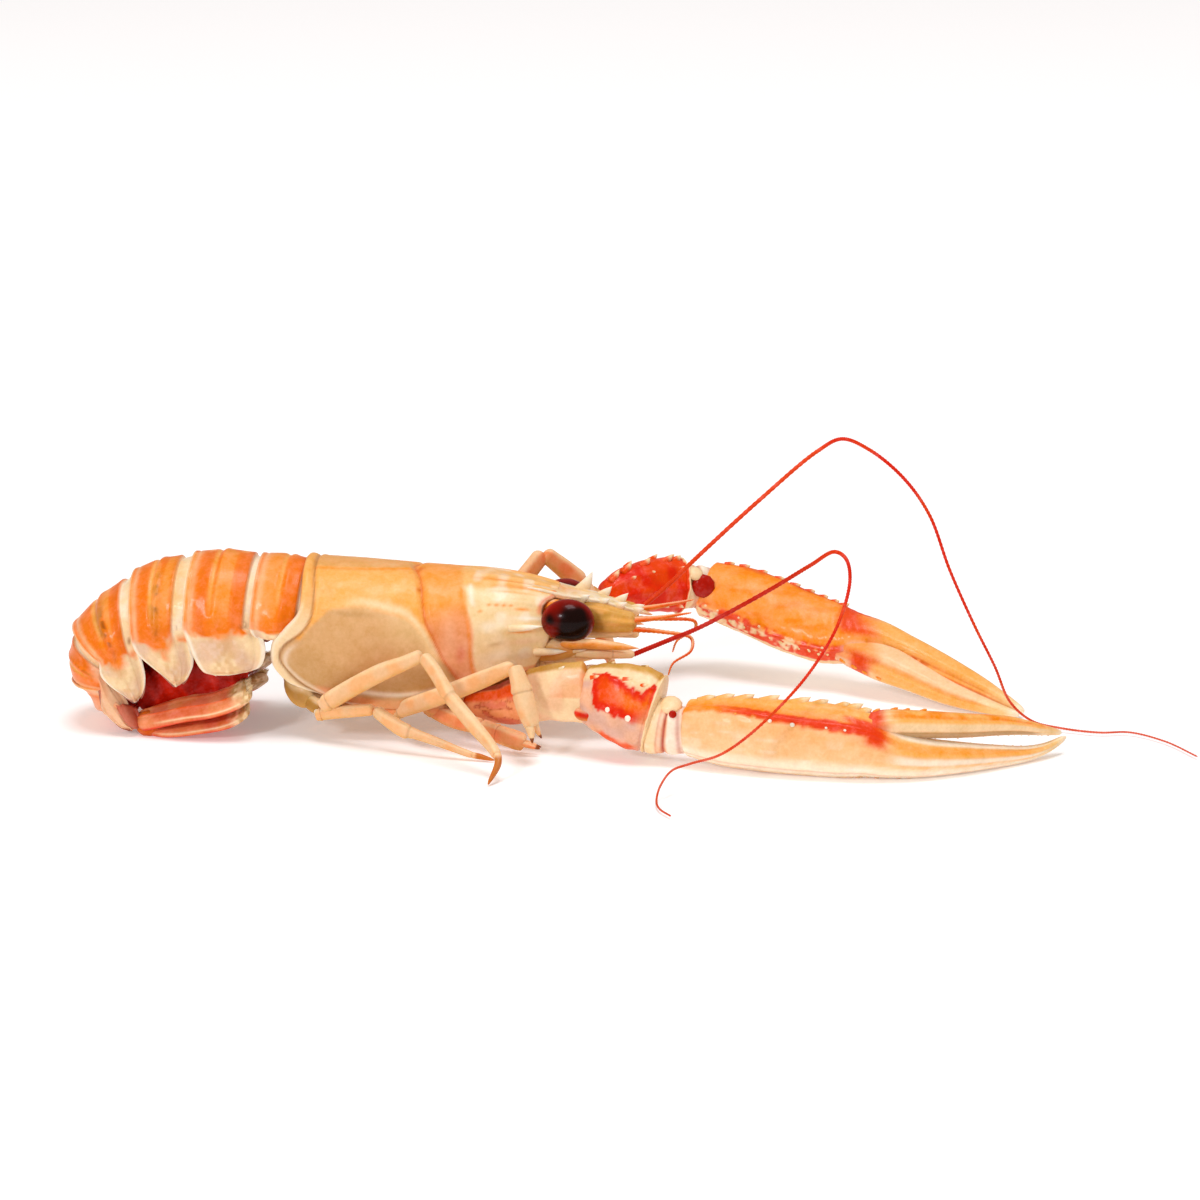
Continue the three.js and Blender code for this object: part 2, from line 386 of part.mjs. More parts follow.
const animal = new THREE.Group();
const placed = [];
for (const [name, material, shape] of pieces) {
  let solid = shape(0).trimByPlane([0, 0, 1], 0);
  const box = solid.boundingBox();
  for (const other of placed) if (boxesMeet(box, other.box)) solid = solid.subtract(other.grown);
  placed.push({ box, grown: shape(GAP) });
  const mesh = largest(solid).getMesh();
  const geometry = new THREE.BufferGeometry();
  geometry.setAttribute("position", new THREE.BufferAttribute(mesh.vertProperties, 3));
  geometry.setIndex(new THREE.BufferAttribute(mesh.triVerts, 1));
  const node = new THREE.Mesh(geometry, MATERIALS[material]);
  node.name = name;
  animal.add(node);
}
animal.position.set(-ORIGIN[0], -ORIGIN[1], -ORIGIN[2]);

const langoustine = new THREE.Group();
langoustine.add(animal);
export default langoustine;
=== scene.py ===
import math

import bmesh
import bpy
import numpy as np
from mathutils import Matrix, Vector


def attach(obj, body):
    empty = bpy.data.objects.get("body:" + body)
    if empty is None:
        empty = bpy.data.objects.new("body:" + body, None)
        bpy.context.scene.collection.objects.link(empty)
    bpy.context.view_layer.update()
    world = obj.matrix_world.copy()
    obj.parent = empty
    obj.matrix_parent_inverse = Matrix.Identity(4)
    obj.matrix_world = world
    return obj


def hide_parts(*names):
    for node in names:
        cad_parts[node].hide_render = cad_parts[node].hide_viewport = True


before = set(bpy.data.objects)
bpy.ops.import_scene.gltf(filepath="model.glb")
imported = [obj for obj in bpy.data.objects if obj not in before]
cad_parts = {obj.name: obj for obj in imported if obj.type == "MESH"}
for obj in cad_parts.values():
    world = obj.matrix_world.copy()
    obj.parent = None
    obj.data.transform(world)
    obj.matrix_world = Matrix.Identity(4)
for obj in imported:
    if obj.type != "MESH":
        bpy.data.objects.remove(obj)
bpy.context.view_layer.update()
drawingMiddle = np.array((56.5, -3.9, 0.0))  # the drawing's point that is the model's origin
millimetre = 0.001
sides = (("right", -1), ("left", 1))


def toModel(spots):  # from millimetres on the drawing to metres in the model
    return (np.asarray(spots) - drawingMiddle) * millimetre


# Colours, as seen on the cooked shell.
def linear(code):
    rgb = np.array([int(code[i : i + 2], 16) for i in (0, 2, 4)]) / 255
    return np.where(rgb <= 0.04045, rgb / 12.92, ((rgb + 0.055) / 1.055) ** 2.4)


tones = {
    name: linear(code)
    for name, code in {
        "white": "FDEDD6",
        "cream": "F7D6A6",
        "butter": "F3CE93",
        "amber": "FAB25C",
        "apricot": "FBA24A",
        "orange": "FC8E28",
        "tangerine": "F67A14",
        "rust": "D8600E",
        "redOrange": "F05006",
        "flame": "E83A02",
        "red": "E22604",
        "wine": "B01808",
        "lilac": "D8AC9C",
        "coral": "DE6A48",
        "pink": "F0B48C",
        "salmon": "F09A62",
        "bone": "EEBE8C",
        "beige": "DBA76E",
        "tan": "C8985E",
        "olive": "B07C34",
        "ochre": "D8A04C",
        "brown": "84441C",
        "dark": "2A0C05",
    }.items()
}


def ramp(value, low, high):
    share = np.clip((value - low) / (high - low), 0, 1)
    return share * share * (3 - 2 * share)


def peak(value, centre, width):
    return np.exp(-(((value - centre) / width) ** 2))


def colourOf(tone):
    return tones[tone] if isinstance(tone, str) else np.asarray(tone)


def plain(tone, over):  # one tone for every point
    return np.tile(colourOf(tone), (len(over), 1))


def mix(base, tone, mask):
    return base + (colourOf(tone) - base) * np.clip(mask, 0, 1)[:, None]


def coated(tint, *coats):  # lays each tone over the tint, as strong as its mask
    for tone, mask in coats:
        tint = mix(tint, tone, mask)
    return tint


def cloud(spots, size, seed=0):  # smooth noise from 0 to 1, in lumps of that size
    cell = spots / size + seed * 7.31
    corner = np.floor(cell).astype(np.int64)
    inside = cell - corner
    inside = inside * inside * (3 - 2 * inside)
    total = np.zeros(len(spots))
    for step in np.ndindex(2, 2, 2):
        c = corner + step
        mixed = (
            c[:, 0] * 374761393 + c[:, 1] * 668265263 + c[:, 2] * 1442695041 + seed * 1013904223
        ) & 0xFFFFFFFF
        mixed = ((mixed ^ (mixed >> 13)) * 1274126177) & 0xFFFFFFFF
        value = ((mixed ^ (mixed >> 16)) & 0xFFFF) / 65535
        total += value * np.prod(np.where(step, inside, 1 - inside), axis=1)
    return total


def fromDegrees(angle, centre):
    return np.abs((np.degrees(angle) - centre + 180) % 360 - 180)


def lineAt(angle, centre, width):  # a soft line at one angle in degrees
    return peak(fromDegrees(angle, centre), 0, width)


def band(angle, low, high, soft=5.0, wobble=0):  # 1 between two angles in degrees
    middle, half = (low + high) / 2, (high - low) / 2
    return ramp(half - fromDegrees(angle, middle) + wobble, -soft, soft)


def along(table, x):  # a smooth reading between the table's pairs
    xs, vs = np.array(table, float).T
    x = np.clip(x, xs[0], xs[-1])
    i = np.clip(np.searchsorted(xs, x, side="right") - 1, 0, len(xs) - 2)
    slopes = np.concatenate(([vs[1] - vs[0]], vs[2:] - vs[:-2], [vs[-1] - vs[-2]]))
    slopes = slopes / np.concatenate(([xs[1] - xs[0]], xs[2:] - xs[:-2], [xs[-1] - xs[-2]]))
    span = xs[i + 1] - xs[i]
    t = (x - xs[i]) / span
    rise = (t**3 - 2 * t**2 + t) * slopes[i] * span + (t**3 - t**2) * slopes[i + 1] * span
    return (2 * t**3 - 3 * t**2 + 1) * vs[i] + (3 * t**2 - 2 * t**3) * vs[i + 1] + rise


def routeAt(knots, share):  # a smooth line through the knots, read at shares from 0 to 1
    knots = np.asarray(knots, float)
    ends = np.vstack([2 * knots[0] - knots[1], knots, 2 * knots[-1] - knots[-2]])
    place = np.clip(share, 0, 1) * (len(knots) - 1)
    i = np.minimum(place.astype(int), len(knots) - 2)
    w = (place - i)[:, None]
    a, b, c, d = ends[i], ends[i + 1], ends[i + 2], ends[i + 3]
    ab, bc, cd = (
        np.maximum(np.linalg.norm(q - p, axis=1, keepdims=True), 1e-6) ** 0.5
        for p, q in ((a, b), (b, c), (c, d))
    )
    m1 = ((b - a) / ab - (c - a) / (ab + bc) + (c - b) / bc) * bc
    m2 = ((c - b) / bc - (d - b) / (bc + cd) + (d - c) / cd) * bc
    return b + m1 * w + (3 * (c - b) - 2 * m1 - m2) * w**2 + (2 * (b - c) + m1 + m2) * w**3


def unit(vectors):
    return vectors / np.maximum(np.linalg.norm(vectors, axis=-1, keepdims=True), 1e-9)


def mirrored(stations, side):
    return [[x, side * -y, *rest] for x, y, *rest in stations]


# Building pieces: each part is made on its own and then added to the piece.
scratch = bpy.data.meshes.new("scratch")


def startPiece():
    bm = bmesh.new()
    bm.verts.layers.float_color.new("tint")
    return bm


def addPart(bm, part):
    part.to_mesh(scratch)
    part.free()
    bm.from_mesh(scratch)


def settle(bm, verts, spots, tint):
    layer = bm.verts.layers.float_color["tint"]
    tint = np.broadcast_to(np.asarray(tint, float), (len(verts), 3))
    for vert, spot, colour in zip(verts, toModel(spots).tolist(), tint.tolist()):
        vert.co = spot
        vert[layer] = (*colour, 1.0)


def addSkin(bm, columns, rows, place):  # a closed skin, place(along, turn) gives spots and tint
    part = startPiece()
    made = bmesh.ops.create_uvsphere(part, u_segments=columns, v_segments=rows, radius=1.0)["verts"]
    ball = np.array([v.co for v in made])
    turn = np.arctan2(ball[:, 1], ball[:, 0]) / (2 * math.pi) % 1.0
    settle(part, made, *place(np.arccos(np.clip(ball[:, 2], -1, 1)) / math.pi, turn))
    bmesh.ops.recalc_face_normals(part, faces=part.faces)
    addPart(bm, part)


# A thin shell, place(across, along) gives spots and tint.
def addSheet(bm, columns, rows, place, wall, lining):
    part = startPiece()
    lining = 0.7 * colourOf(lining)
    number = part.verts.layers.int.new("number")
    tintLayer = part.verts.layers.float_color["tint"]
    made = bmesh.ops.create_grid(part, x_segments=columns, y_segments=rows, size=1.0)["verts"]
    flat = np.array([v.co for v in made])
    spots, tint = place(flat[:, 0], (flat[:, 1] + 1) / 2)
    settle(part, made, spots, tint)
    part.normal_update()
    middle = Vector(toModel(spots.mean(axis=0)))
    if sum(face.normal.dot(face.calc_center_median() - middle) for face in part.faces) < 0:
        bmesh.ops.reverse_faces(part, faces=part.faces)
        part.normal_update()
    within = {}
    for count, vert in enumerate(made):
        vert[number] = count
        within[count] = vert.co - vert.normal * wall * millimetre
    outer = set(made)
    bmesh.ops.solidify(part, geom=part.faces[:], thickness=1e-6)
    for vert in part.verts:
        if vert not in outer:
            vert.co = within[vert[number]]
            vert[tintLayer] = (*(0.3 * np.array(vert[tintLayer])[:3] + lining), 1.0)
    part.verts.layers.int.remove(number)
    bmesh.ops.recalc_face_normals(part, faces=part.faces)
    addPart(bm, part)


def limbSurface(stations, up=(0, 0, 1), square=1.0, form=None):
    stations = np.asarray(stations, float)

    def surface(share, angle, shrink=1.0, lift=0.0):
        share, angle = np.broadcast_arrays(
            np.atleast_1d(share).astype(float), np.atleast_1d(angle).astype(float)
        )
        centre = routeAt(stations[:, :3], share)
        ahead = unit(routeAt(stations[:, :3], share + 2e-3) - routeAt(stations[:, :3], share - 2e-3))
        across = unit(np.cross(ahead, np.asarray(up, float)))
        top = np.cross(across, ahead)
        size = routeAt(stations[:, 3:5], share)
        swell = shrink * (form(share, angle) if form else 1.0)
        c, s = np.cos(angle), np.sin(angle)
        c, s = np.sign(c) * np.abs(c) ** square, np.sign(s) * np.abs(s) ** square
        return (
            centre
            + across * (c * (size[:, 0] * swell + lift * shrink))[:, None]
            + top * (s * (size[:, 1] * swell + lift * shrink))[:, None]
        )

    return surface


def addLimb(bm, surface, columns, rows, paint, span=(0, 1), caps=(0.06, 0.06), relief=None):
    def place(alongIt, turn):
        alongIt = 0.55 * alongIt + 0.45 * (0.5 - 0.5 * np.cos(math.pi * alongIt))
        share = span[0] + (span[1] - span[0]) * alongIt
        angle = turn * 2 * math.pi
        ends = [1 - np.clip(alongIt / caps[0], 0, 1), 1 - np.clip((1 - alongIt) / caps[1], 0, 1)]
        shrink = np.sqrt(np.clip(1 - ends[0] ** 2, 0, 1) * np.clip(1 - ends[1] ** 2, 0, 1))
        lift = relief(share, angle) if relief else 0.0
        spots = surface(share, angle, shrink, lift)
        return spots, paint(share, angle, spots)

    addSkin(bm, columns, rows, place)


def addSpike(bm, stations, base, tip, columns=8, rows=9):
    surface = limbSurface(stations)
    addLimb(
        bm, surface, columns, rows,
        lambda share, angle, spots: mix(plain(base, share), tip, ramp(share, 0.3, 0.75)), caps=(0.05, 0.3),
    )


def addKnob(bm, spot, outward, wide, tall, tint):
    matrix = Vector(outward).to_track_quat("Z", "Y").to_matrix().to_4x4()
    matrix.translation = Vector(toModel(spot))
    matrix = matrix @ Matrix.Diagonal((wide * millimetre, wide * millimetre, tall * millimetre, 1))
    part = startPiece()
    bmesh.ops.create_icosphere(part, subdivisions=2, radius=1.0, matrix=matrix)
    paintPart(part, tint)
    addPart(bm, part)


def addHair(bm, root, tip, thick, tint):
    root, tip = Vector(toModel(root)), Vector(toModel(tip))
    matrix = (tip - root).to_track_quat("Z", "Y").to_matrix().to_4x4()
    matrix.translation = (root + tip) / 2
    part = startPiece()
    bmesh.ops.create_cone(
        part, cap_ends=True, segments=4, radius1=thick * millimetre, radius2=thick * 0.2 * millimetre,
        depth=(tip - root).length, matrix=matrix,
    )
    paintPart(part, tint)
    addPart(bm, part)


def paintPart(part, tint):
    layer = part.verts.layers.float_color["tint"]
    colour = (*colourOf(tint), 1.0)
    for vert in part.verts:
        vert[layer] = colour


def finishPiece(name, bm, slotName, *nodes):
    for vertex in bm.verts:  # nothing dips below the table
        vertex.co.z = max(vertex.co.z, 0.0)
    mesh = bpy.data.meshes.new(name)
    bm.to_mesh(mesh)
    bm.free()
    mesh.polygons.foreach_set("use_smooth", [True] * len(mesh.polygons))
    mesh.materials.append(materials[slotName + "Finish"])
    piece = bpy.data.objects.new(name, mesh)
    bpy.context.scene.collection.objects.link(piece)
    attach(piece, "root")
    if nodes:
        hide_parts(*nodes)


# Materials: each piece carries its regions in a tint attribute, and the shader adds the fine grain.
def newGroup(name, inputs, outputs):
    group = bpy.data.node_groups.new(name, "ShaderNodeTree")
    for label, kind, value in inputs:
        socket = group.interface.new_socket(label, in_out="INPUT", socket_type=kind)
        if value is not None:
            socket.default_value = value
    for label, kind in outputs:
        group.interface.new_socket(label, in_out="OUTPUT", socket_type=kind)
    return group, group.nodes.new("NodeGroupInput"), group.nodes.new("NodeGroupOutput")


def addNode(tree, kind, settings=None, **inputs):
    node = tree.nodes.new(kind)
    for key, value in (settings or {}).items():
        setattr(node, key, value)
    for key, value in inputs.items():
        socket = node.inputs[
            int(key[2:]) if key.startswith("in") and key[2:].isdigit() else key.replace("_", " ")
        ]
        if isinstance(value, bpy.types.NodeSocket):
            tree.links.new(value, socket)
        else:
            socket.default_value = value
    return node


def setSockets(node, values):
    for socket, value in values.items():
        node.inputs[socket].default_value = value


def addMath(tree, operation, *values):
    inputs = {"in%d" % k: value for k, value in enumerate(values)}
    return addNode(tree, "ShaderNodeMath", {"operation": operation}, **inputs).outputs[0]


def addRange(tree, value, low, high, start, end):
    return addNode(tree, "ShaderNodeMapRange", in0=value, in1=low, in2=high, in3=start, in4=end).outputs[0]


def buildShellGrain():
    number = "NodeSocketFloat"
    inputs = [("Tint", "NodeSocketColor", None), ("Place", "NodeSocketVector", None)]
    inputs += [
        ("Mottle", number, 0.3), ("Speckle", number, 0.2), ("Pit Size", number, 1200.0),
        ("Gloss", number, 0.3),
    ]
    outputs = [("Color", "NodeSocketColor"), ("Height", number), ("Roughness", number)]
    group, given, result = newGroup("shellGrain", inputs, outputs)
    place = given.outputs["Place"]
    soft = addNode(group, "ShaderNodeTexNoise", Vector=place, Scale=330.0, Detail=4.0, Roughness=0.6)
    fine = addNode(
        group, "ShaderNodeTexNoise", Vector=place, Scale=1500.0, Detail=3.0, Roughness=0.65
    ).outputs[0]
    pits = addNode(
        group, "ShaderNodeTexVoronoi", {"feature": "F1"}, Vector=place, Scale=given.outputs["Pit Size"]
    )
    shift = addMath(
        group, "MULTIPLY", addRange(group, soft.outputs[0], 0.3, 0.7, -1.0, 1.0), given.outputs["Mottle"]
    )
    dots = addMath(
        group, "MULTIPLY", addRange(group, fine, 0.35, 0.65, -1.0, 1.0), given.outputs["Speckle"]
    )
    both = addMath(group, "ADD", shift, dots)
    value = addMath(group, "MULTIPLY_ADD", both, 0.22, 1.0)
    strength = addMath(group, "MULTIPLY_ADD", both, -0.16, 1.0)
    tint = addNode(
        group, "ShaderNodeHueSaturation", Saturation=strength, Value=value, Color=given.outputs["Tint"]
    )
    hollow = addRange(group, pits.outputs["Distance"], 0.0, 0.4, 0.0, 1.0)
    group.links.new(tint.outputs[0], result.inputs["Color"])
    group.links.new(addMath(group, "MULTIPLY_ADD", fine, 0.6, hollow), result.inputs["Height"])
    group.links.new(
        addMath(group, "MULTIPLY_ADD", fine, 0.16, given.outputs["Gloss"]), result.inputs["Roughness"]
    )
    return group


shellGrain = buildShellGrain()

# Each finish: the grain's sockets, how strong the bumps are, then the shader's sockets.
grainSockets = ("Mottle", "Speckle", "Pit Size", "Gloss")
shaderSockets = ("Subsurface Weight", "Specular IOR Level", "Coat Weight", "Coat Roughness")
finishes = {
    "shellFinish": (0.3, 0.12, 1500.0, 0.34, 0.07, 0.12, 0.16, 0.1, 0.16),
    "tailFinish": (0.3, 0.12, 1700.0, 0.3, 0.06, 0.15, 0.15, 0.12, 0.14),
    "fanFinish": (0.3, 0.15, 1800.0, 0.32, 0.08, 0.2, 0.15, 0.1, 0.16),
    "fleshFinish": (0.4, 0.1, 900.0, 0.4, 0.1, 0.0, 0.04, 0.03, 0.2),
    "limbFinish": (0.2, 0.1, 2200.0, 0.34, 0.04, 0.2, 0.16, 0.1, 0.16),
    "clawFinish": (0.3, 0.15, 1500.0, 0.32, 0.08, 0.14, 0.15, 0.12, 0.14),
    "wristFinish": (0.35, 0.15, 1300.0, 0.3, 0.1, 0.04, 0.08, 0.1, 0.12),
    "feelerFinish": (0.3, 0.15, 2600.0, 0.34, 0.04, 0.1, 0.12, 0.06, 0.2),
    "eyeFinish": (0.3, 0.1, 4200.0, 0.16, 0.02, 0.0, 0.07, 0.09, 0.09),
}
shellInside = {"IOR": 1.5, "Subsurface Radius": (1.0, 0.4, 0.2), "Subsurface Scale": 0.0009}
bumpDepth = 0.0004


def buildMaterial(name, values):
    material = bpy.data.materials.new(name)
    material.use_nodes = True
    tree = material.node_tree
    shader = tree.nodes["Principled BSDF"]
    tint = addNode(tree, "ShaderNodeAttribute", {"attribute_name": "tint"}).outputs["Color"]
    place = addNode(tree, "ShaderNodeTexCoord").outputs["Object"]
    grain = addNode(tree, "ShaderNodeGroup", {"node_tree": shellGrain}, Tint=tint, Place=place)
    bump = addNode(
        tree, "ShaderNodeBump", Strength=values[4], Distance=bumpDepth, Height=grain.outputs["Height"]
    )
    tree.links.new(grain.outputs["Color"], shader.inputs["Base Color"])
    tree.links.new(grain.outputs["Roughness"], shader.inputs["Roughness"])
    tree.links.new(bump.outputs[0], shader.inputs["Normal"])
    setSockets(grain, dict(zip(grainSockets, values)))
    setSockets(shader, {**shellInside, **dict(zip(shaderSockets, values[5:]))})
    return material


materials = {name: buildMaterial(name, values) for name, values in finishes.items()}
print("materials ready")

# Camera, lights and table.
studio = {
    "lookAt": (51.0, 0.0, 27.5),
    "azimuth": 4.0,
    "elevation": 15.0,
    "distance": 750.0,
    "lens": 110.25,
    "lamps": {  # place in metres, size in metres, watts
        "key": ((0.3, -0.4, 4.4), 1.9, 104.0),
        "front": ((-1.8, -3.4, 2.2), 0.7, 60.0),
    },
    "lampColour": (0.97, 1.0, 1.05),
    "sky": {"Color": (1.0, 0.9, 0.84, 1), "Strength": 0.42},
    "tableSize": 6.0,
    "tableFinish": {
        "Base Color": (0.95, 0.945, 0.94, 1),
        "Emission Color": (1, 1, 1, 1),
        "Emission Strength": 0.2,
        "Roughness": 0.6,
        "Specular IOR Level": 0.2,
    },
}


def buildStudio():
    a, e = math.radians(studio["azimuth"]), math.radians(studio["elevation"])
    back = np.array((math.sin(a) * math.cos(e), -math.cos(a) * math.cos(e), math.sin(e)))
    data = bpy.data.cameras.new("camera")
    data.lens = studio["lens"]
    data.clip_start, data.clip_end = 0.01, 50
    camera = bpy.data.objects.new("camera", data)
    camera.location = toModel(studio["lookAt"] + back * studio["distance"])
    camera.rotation_euler = Vector(-back).to_track_quat("-Z", "Y").to_euler()
    bpy.context.scene.collection.objects.link(camera)
    bpy.context.scene.camera = camera

    for name, (place, size, power) in studio["lamps"].items():
        lamp = bpy.data.lights.new(name, "AREA")
        lamp.size, lamp.energy = size, power
        lamp.color = studio["lampColour"]
        light = bpy.data.objects.new(name, lamp)
        light.location = place
        light.rotation_euler = (
            Vector((0.0, 0.0, 0.01)) - Vector(place)
        ).to_track_quat("-Z", "Y").to_euler()
        bpy.context.scene.collection.objects.link(light)

    world = bpy.data.worlds.new("studio")
    world.use_nodes = True
    setSockets(world.node_tree.nodes["Background"], studio["sky"])
    bpy.context.scene.world = world
    bpy.context.scene.view_settings.view_transform = "Standard"

    bm = bmesh.new()
    bmesh.ops.create_grid(bm, x_segments=1, y_segments=1, size=studio["tableSize"])
    mesh = bpy.data.meshes.new("table")
    bm.to_mesh(mesh)
    bm.free()
    table = bpy.data.objects.new("table", mesh)
    paint = bpy.data.materials.new("tableFinish")
    paint.use_nodes = True
    setSockets(paint.node_tree.nodes["Principled BSDF"], studio["tableFinish"])
    mesh.materials.append(paint)
    bpy.context.scene.collection.objects.link(table)


buildStudio()
print("studio ready")

# The carapace: one thin shell from the tail to the eyes, with rims, grooves, keels and the pointed beak.
carapace = {
    "lowestAngle": 140,
    "tuckIn": 0.13,
    "top": [
        [-17, 35.3], [-8.5, 35.5], [1.8, 35.1], [13.1, 34.3], [21, 33.9], [29.3, 33.2], [36.9, 31.9],
        [44, 30.0],
    ],
    "bottom": [
        [-17, 15.5], [-12.6, 12.4], [-7.4, 10.3], [0.7, 8], [11, 7], [20.8, 9], [31.4, 13.2], [44, 15.8]
    ],
    "halfWidth": [
        [-17, 12.4], [-8, 13.1], [2, 13.6], [12, 13.5], [22, 12.7], [30, 11.4], [37, 9.8], [44, 7.8]
    ],
    "widest": 0.52,
    "wall": 0.55,
    "degree": 0.235,  # millimetres round the shell for each degree
    # Lines over the shell: x at each angle from the back, 0, down to the lower edge, 140.
    "rear": [
        [0, -9.2], [30, -9], [57, -8.9], [73, -9.5], [90, -12.4], [104, -14.5], [122, -15.2], [132, -14.8],
        [138, -13], [140, -11],
    ],
    "front": [[0, 43], [30, 42.4], [46, 40.6], [66, 39.9], [82, 41.6], [100, 41.2], [120, 40], [140, 38]],
    "rimLine": [
        [0, -6.9], [19, -6.75], [63, -6.25], [83, -7.5], [105, -12.2], [121, -13.2], [131, -11.2],
        [136, -8], [140, -3],
    ],
    "neck": [[0, 13.1], [26, 15], [52, 15.8], [70, 16.5], [82, 17.8], [101, 19.8], [116, 21.8], [140, 25]],
    "bandFront": [[0, 22.6], [25, 23.5], [53, 24.3], [81, 25.6], [107, 25.9], [120, 26.3], [140, 28]],
    # The angle at each x.
    "cheekTop": [
        [-9, 94], [-7.5, 84], [-5.2, 75], [-2.7, 65], [2.7, 61], [8, 61], [13, 67], [16, 82], [17.5, 93],
        [20, 104], [24, 118],
    ],
    "keel": [[-9, 21], [2.5, 18], [13.5, 9]],
    "marks": [  # angle, x, half sizes of each, tone, strength
        (67, 0.8, 2.4, 3.6, "tan", 0.75), (66, 4.4, 2, 2.4, "tan", 0.4), (101, 23.7, 8, 1.0, "coral", 0.65),
        (80, 21.5, 14, 1.6, "pink", 0.4),
        (56, 29.2, 1.5, 0.4, "orange", 0.9), (56.5, 30.7, 1.4, 0.45, "orange", 0.9),
        (57, 32.2, 1.6, 0.4, "orange", 0.9),
        (57, 33.6, 1.4, 0.45, "orange", 0.9), (63, 27.5, 1.8, 0.5, "orange", 0.8),
        (61, 35.8, 2.0, 1.5, "orange", 0.85),
        (50, 31, 4, 0.8, "white", 0.5), (72, 37.2, 2.2, 2.6, "white", 1.0),
        (88, 35.8, 1.4, 2.0, "orange", 0.8), (99, 30.6, 2.6, 1.4, "tan", 0.6),
        (20, 32, 2.4, 5, "orange", 0.7), (29, 36, 2, 5, "orange", 0.85), (38, 34, 1.8, 4, "apricot", 0.7),
        (80, 30, 5, 3, "white", 0.45),
        (112, 31, 6, 3, "white", 0.35), (133, -2.4, 2.2, 2.6, "coral", 0.7), (8, 14.5, 4, 0.8, "rust", 0.7),
        (38, 15, 2.6, 0.6, "rust", 0.75),
        (48, -3, 10, 1.2, "orange", 0.25), (44, 6, 5, 3, "butter", 0.35), (100, 36, 4, 3, "pink", 0.4),
        (118, 36, 6, 3, "tan", 0.35),
    ],
    "beak": [
        [33, 0, 31, 5, 1.2], [38, 0, 30.4, 4.8, 1.2], [44, 0, 28.9, 4.2, 1.1], [50, 0, 27.9, 3, 0.95],
        [56, 0, 26.1, 1.8, 0.8], [61.8, 0, 24.6, 0.25, 0.25],
    ],
    "teeth": [  # x, distance from the middle, height on the right and on the left
        [47.6, 3.3, 1.1, 4.4],
        [51.6, 2.6, 1.0, 2.3],
        [55.0, 2.0, 1.3, 2.2],
        [58.4, 1.1, 0.7, 0.9],
    ],
    "spines": [
        [[33, -10.4, 24, 0.9, 0.8], [36.4, -10.5, 24.2, 0.75, 0.7], [40.2, -10.4, 24.6, 0.12, 0.12]],
        [[38, -9, 18.8, 1.1, 0.9], [41.8, -9.4, 19, 0.8, 0.7], [45, -9.6, 19.2, 0.12, 0.12]],
    ],
}


def shellGap(name, turn, x):  # millimetres ahead of a line over the shell
    line, degree = carapace[name], carapace["degree"]
    slope = (along(line, turn + 1.5) - along(line, turn - 1.5)) / (3 * degree)
    return (x - along(line, turn)) / np.sqrt(1 + slope**2)


def shellSpot(degrees, x, lift):
    c = carapace
    turn = np.abs(degrees)
    top, bottom = along(c["top"], x), along(c["bottom"], x)
    middle = top - c["widest"] * (top - bottom)
    below = np.clip(turn - 90, 0, None) / (c["lowestAngle"] - 90)
    dip = 0.55 * np.clip(1 - (shellGap("neck", turn, x) / 1.1) ** 2, 0, 1) ** 1.5
    angle = np.radians(np.minimum(turn, 90))
    half = along(c["halfWidth"], x) + lift - dip
    y = half * np.sin(angle) ** 0.9 * (1 - c["tuckIn"] * below**2)
    upper = middle + (top - middle + lift - dip) * np.cos(angle) ** 0.92
    lower = middle - (middle - bottom + np.minimum(lift, 0.3)) * below
    return np.stack([x, np.sign(degrees) * y, np.where(below > 0, lower, upper)], axis=1)


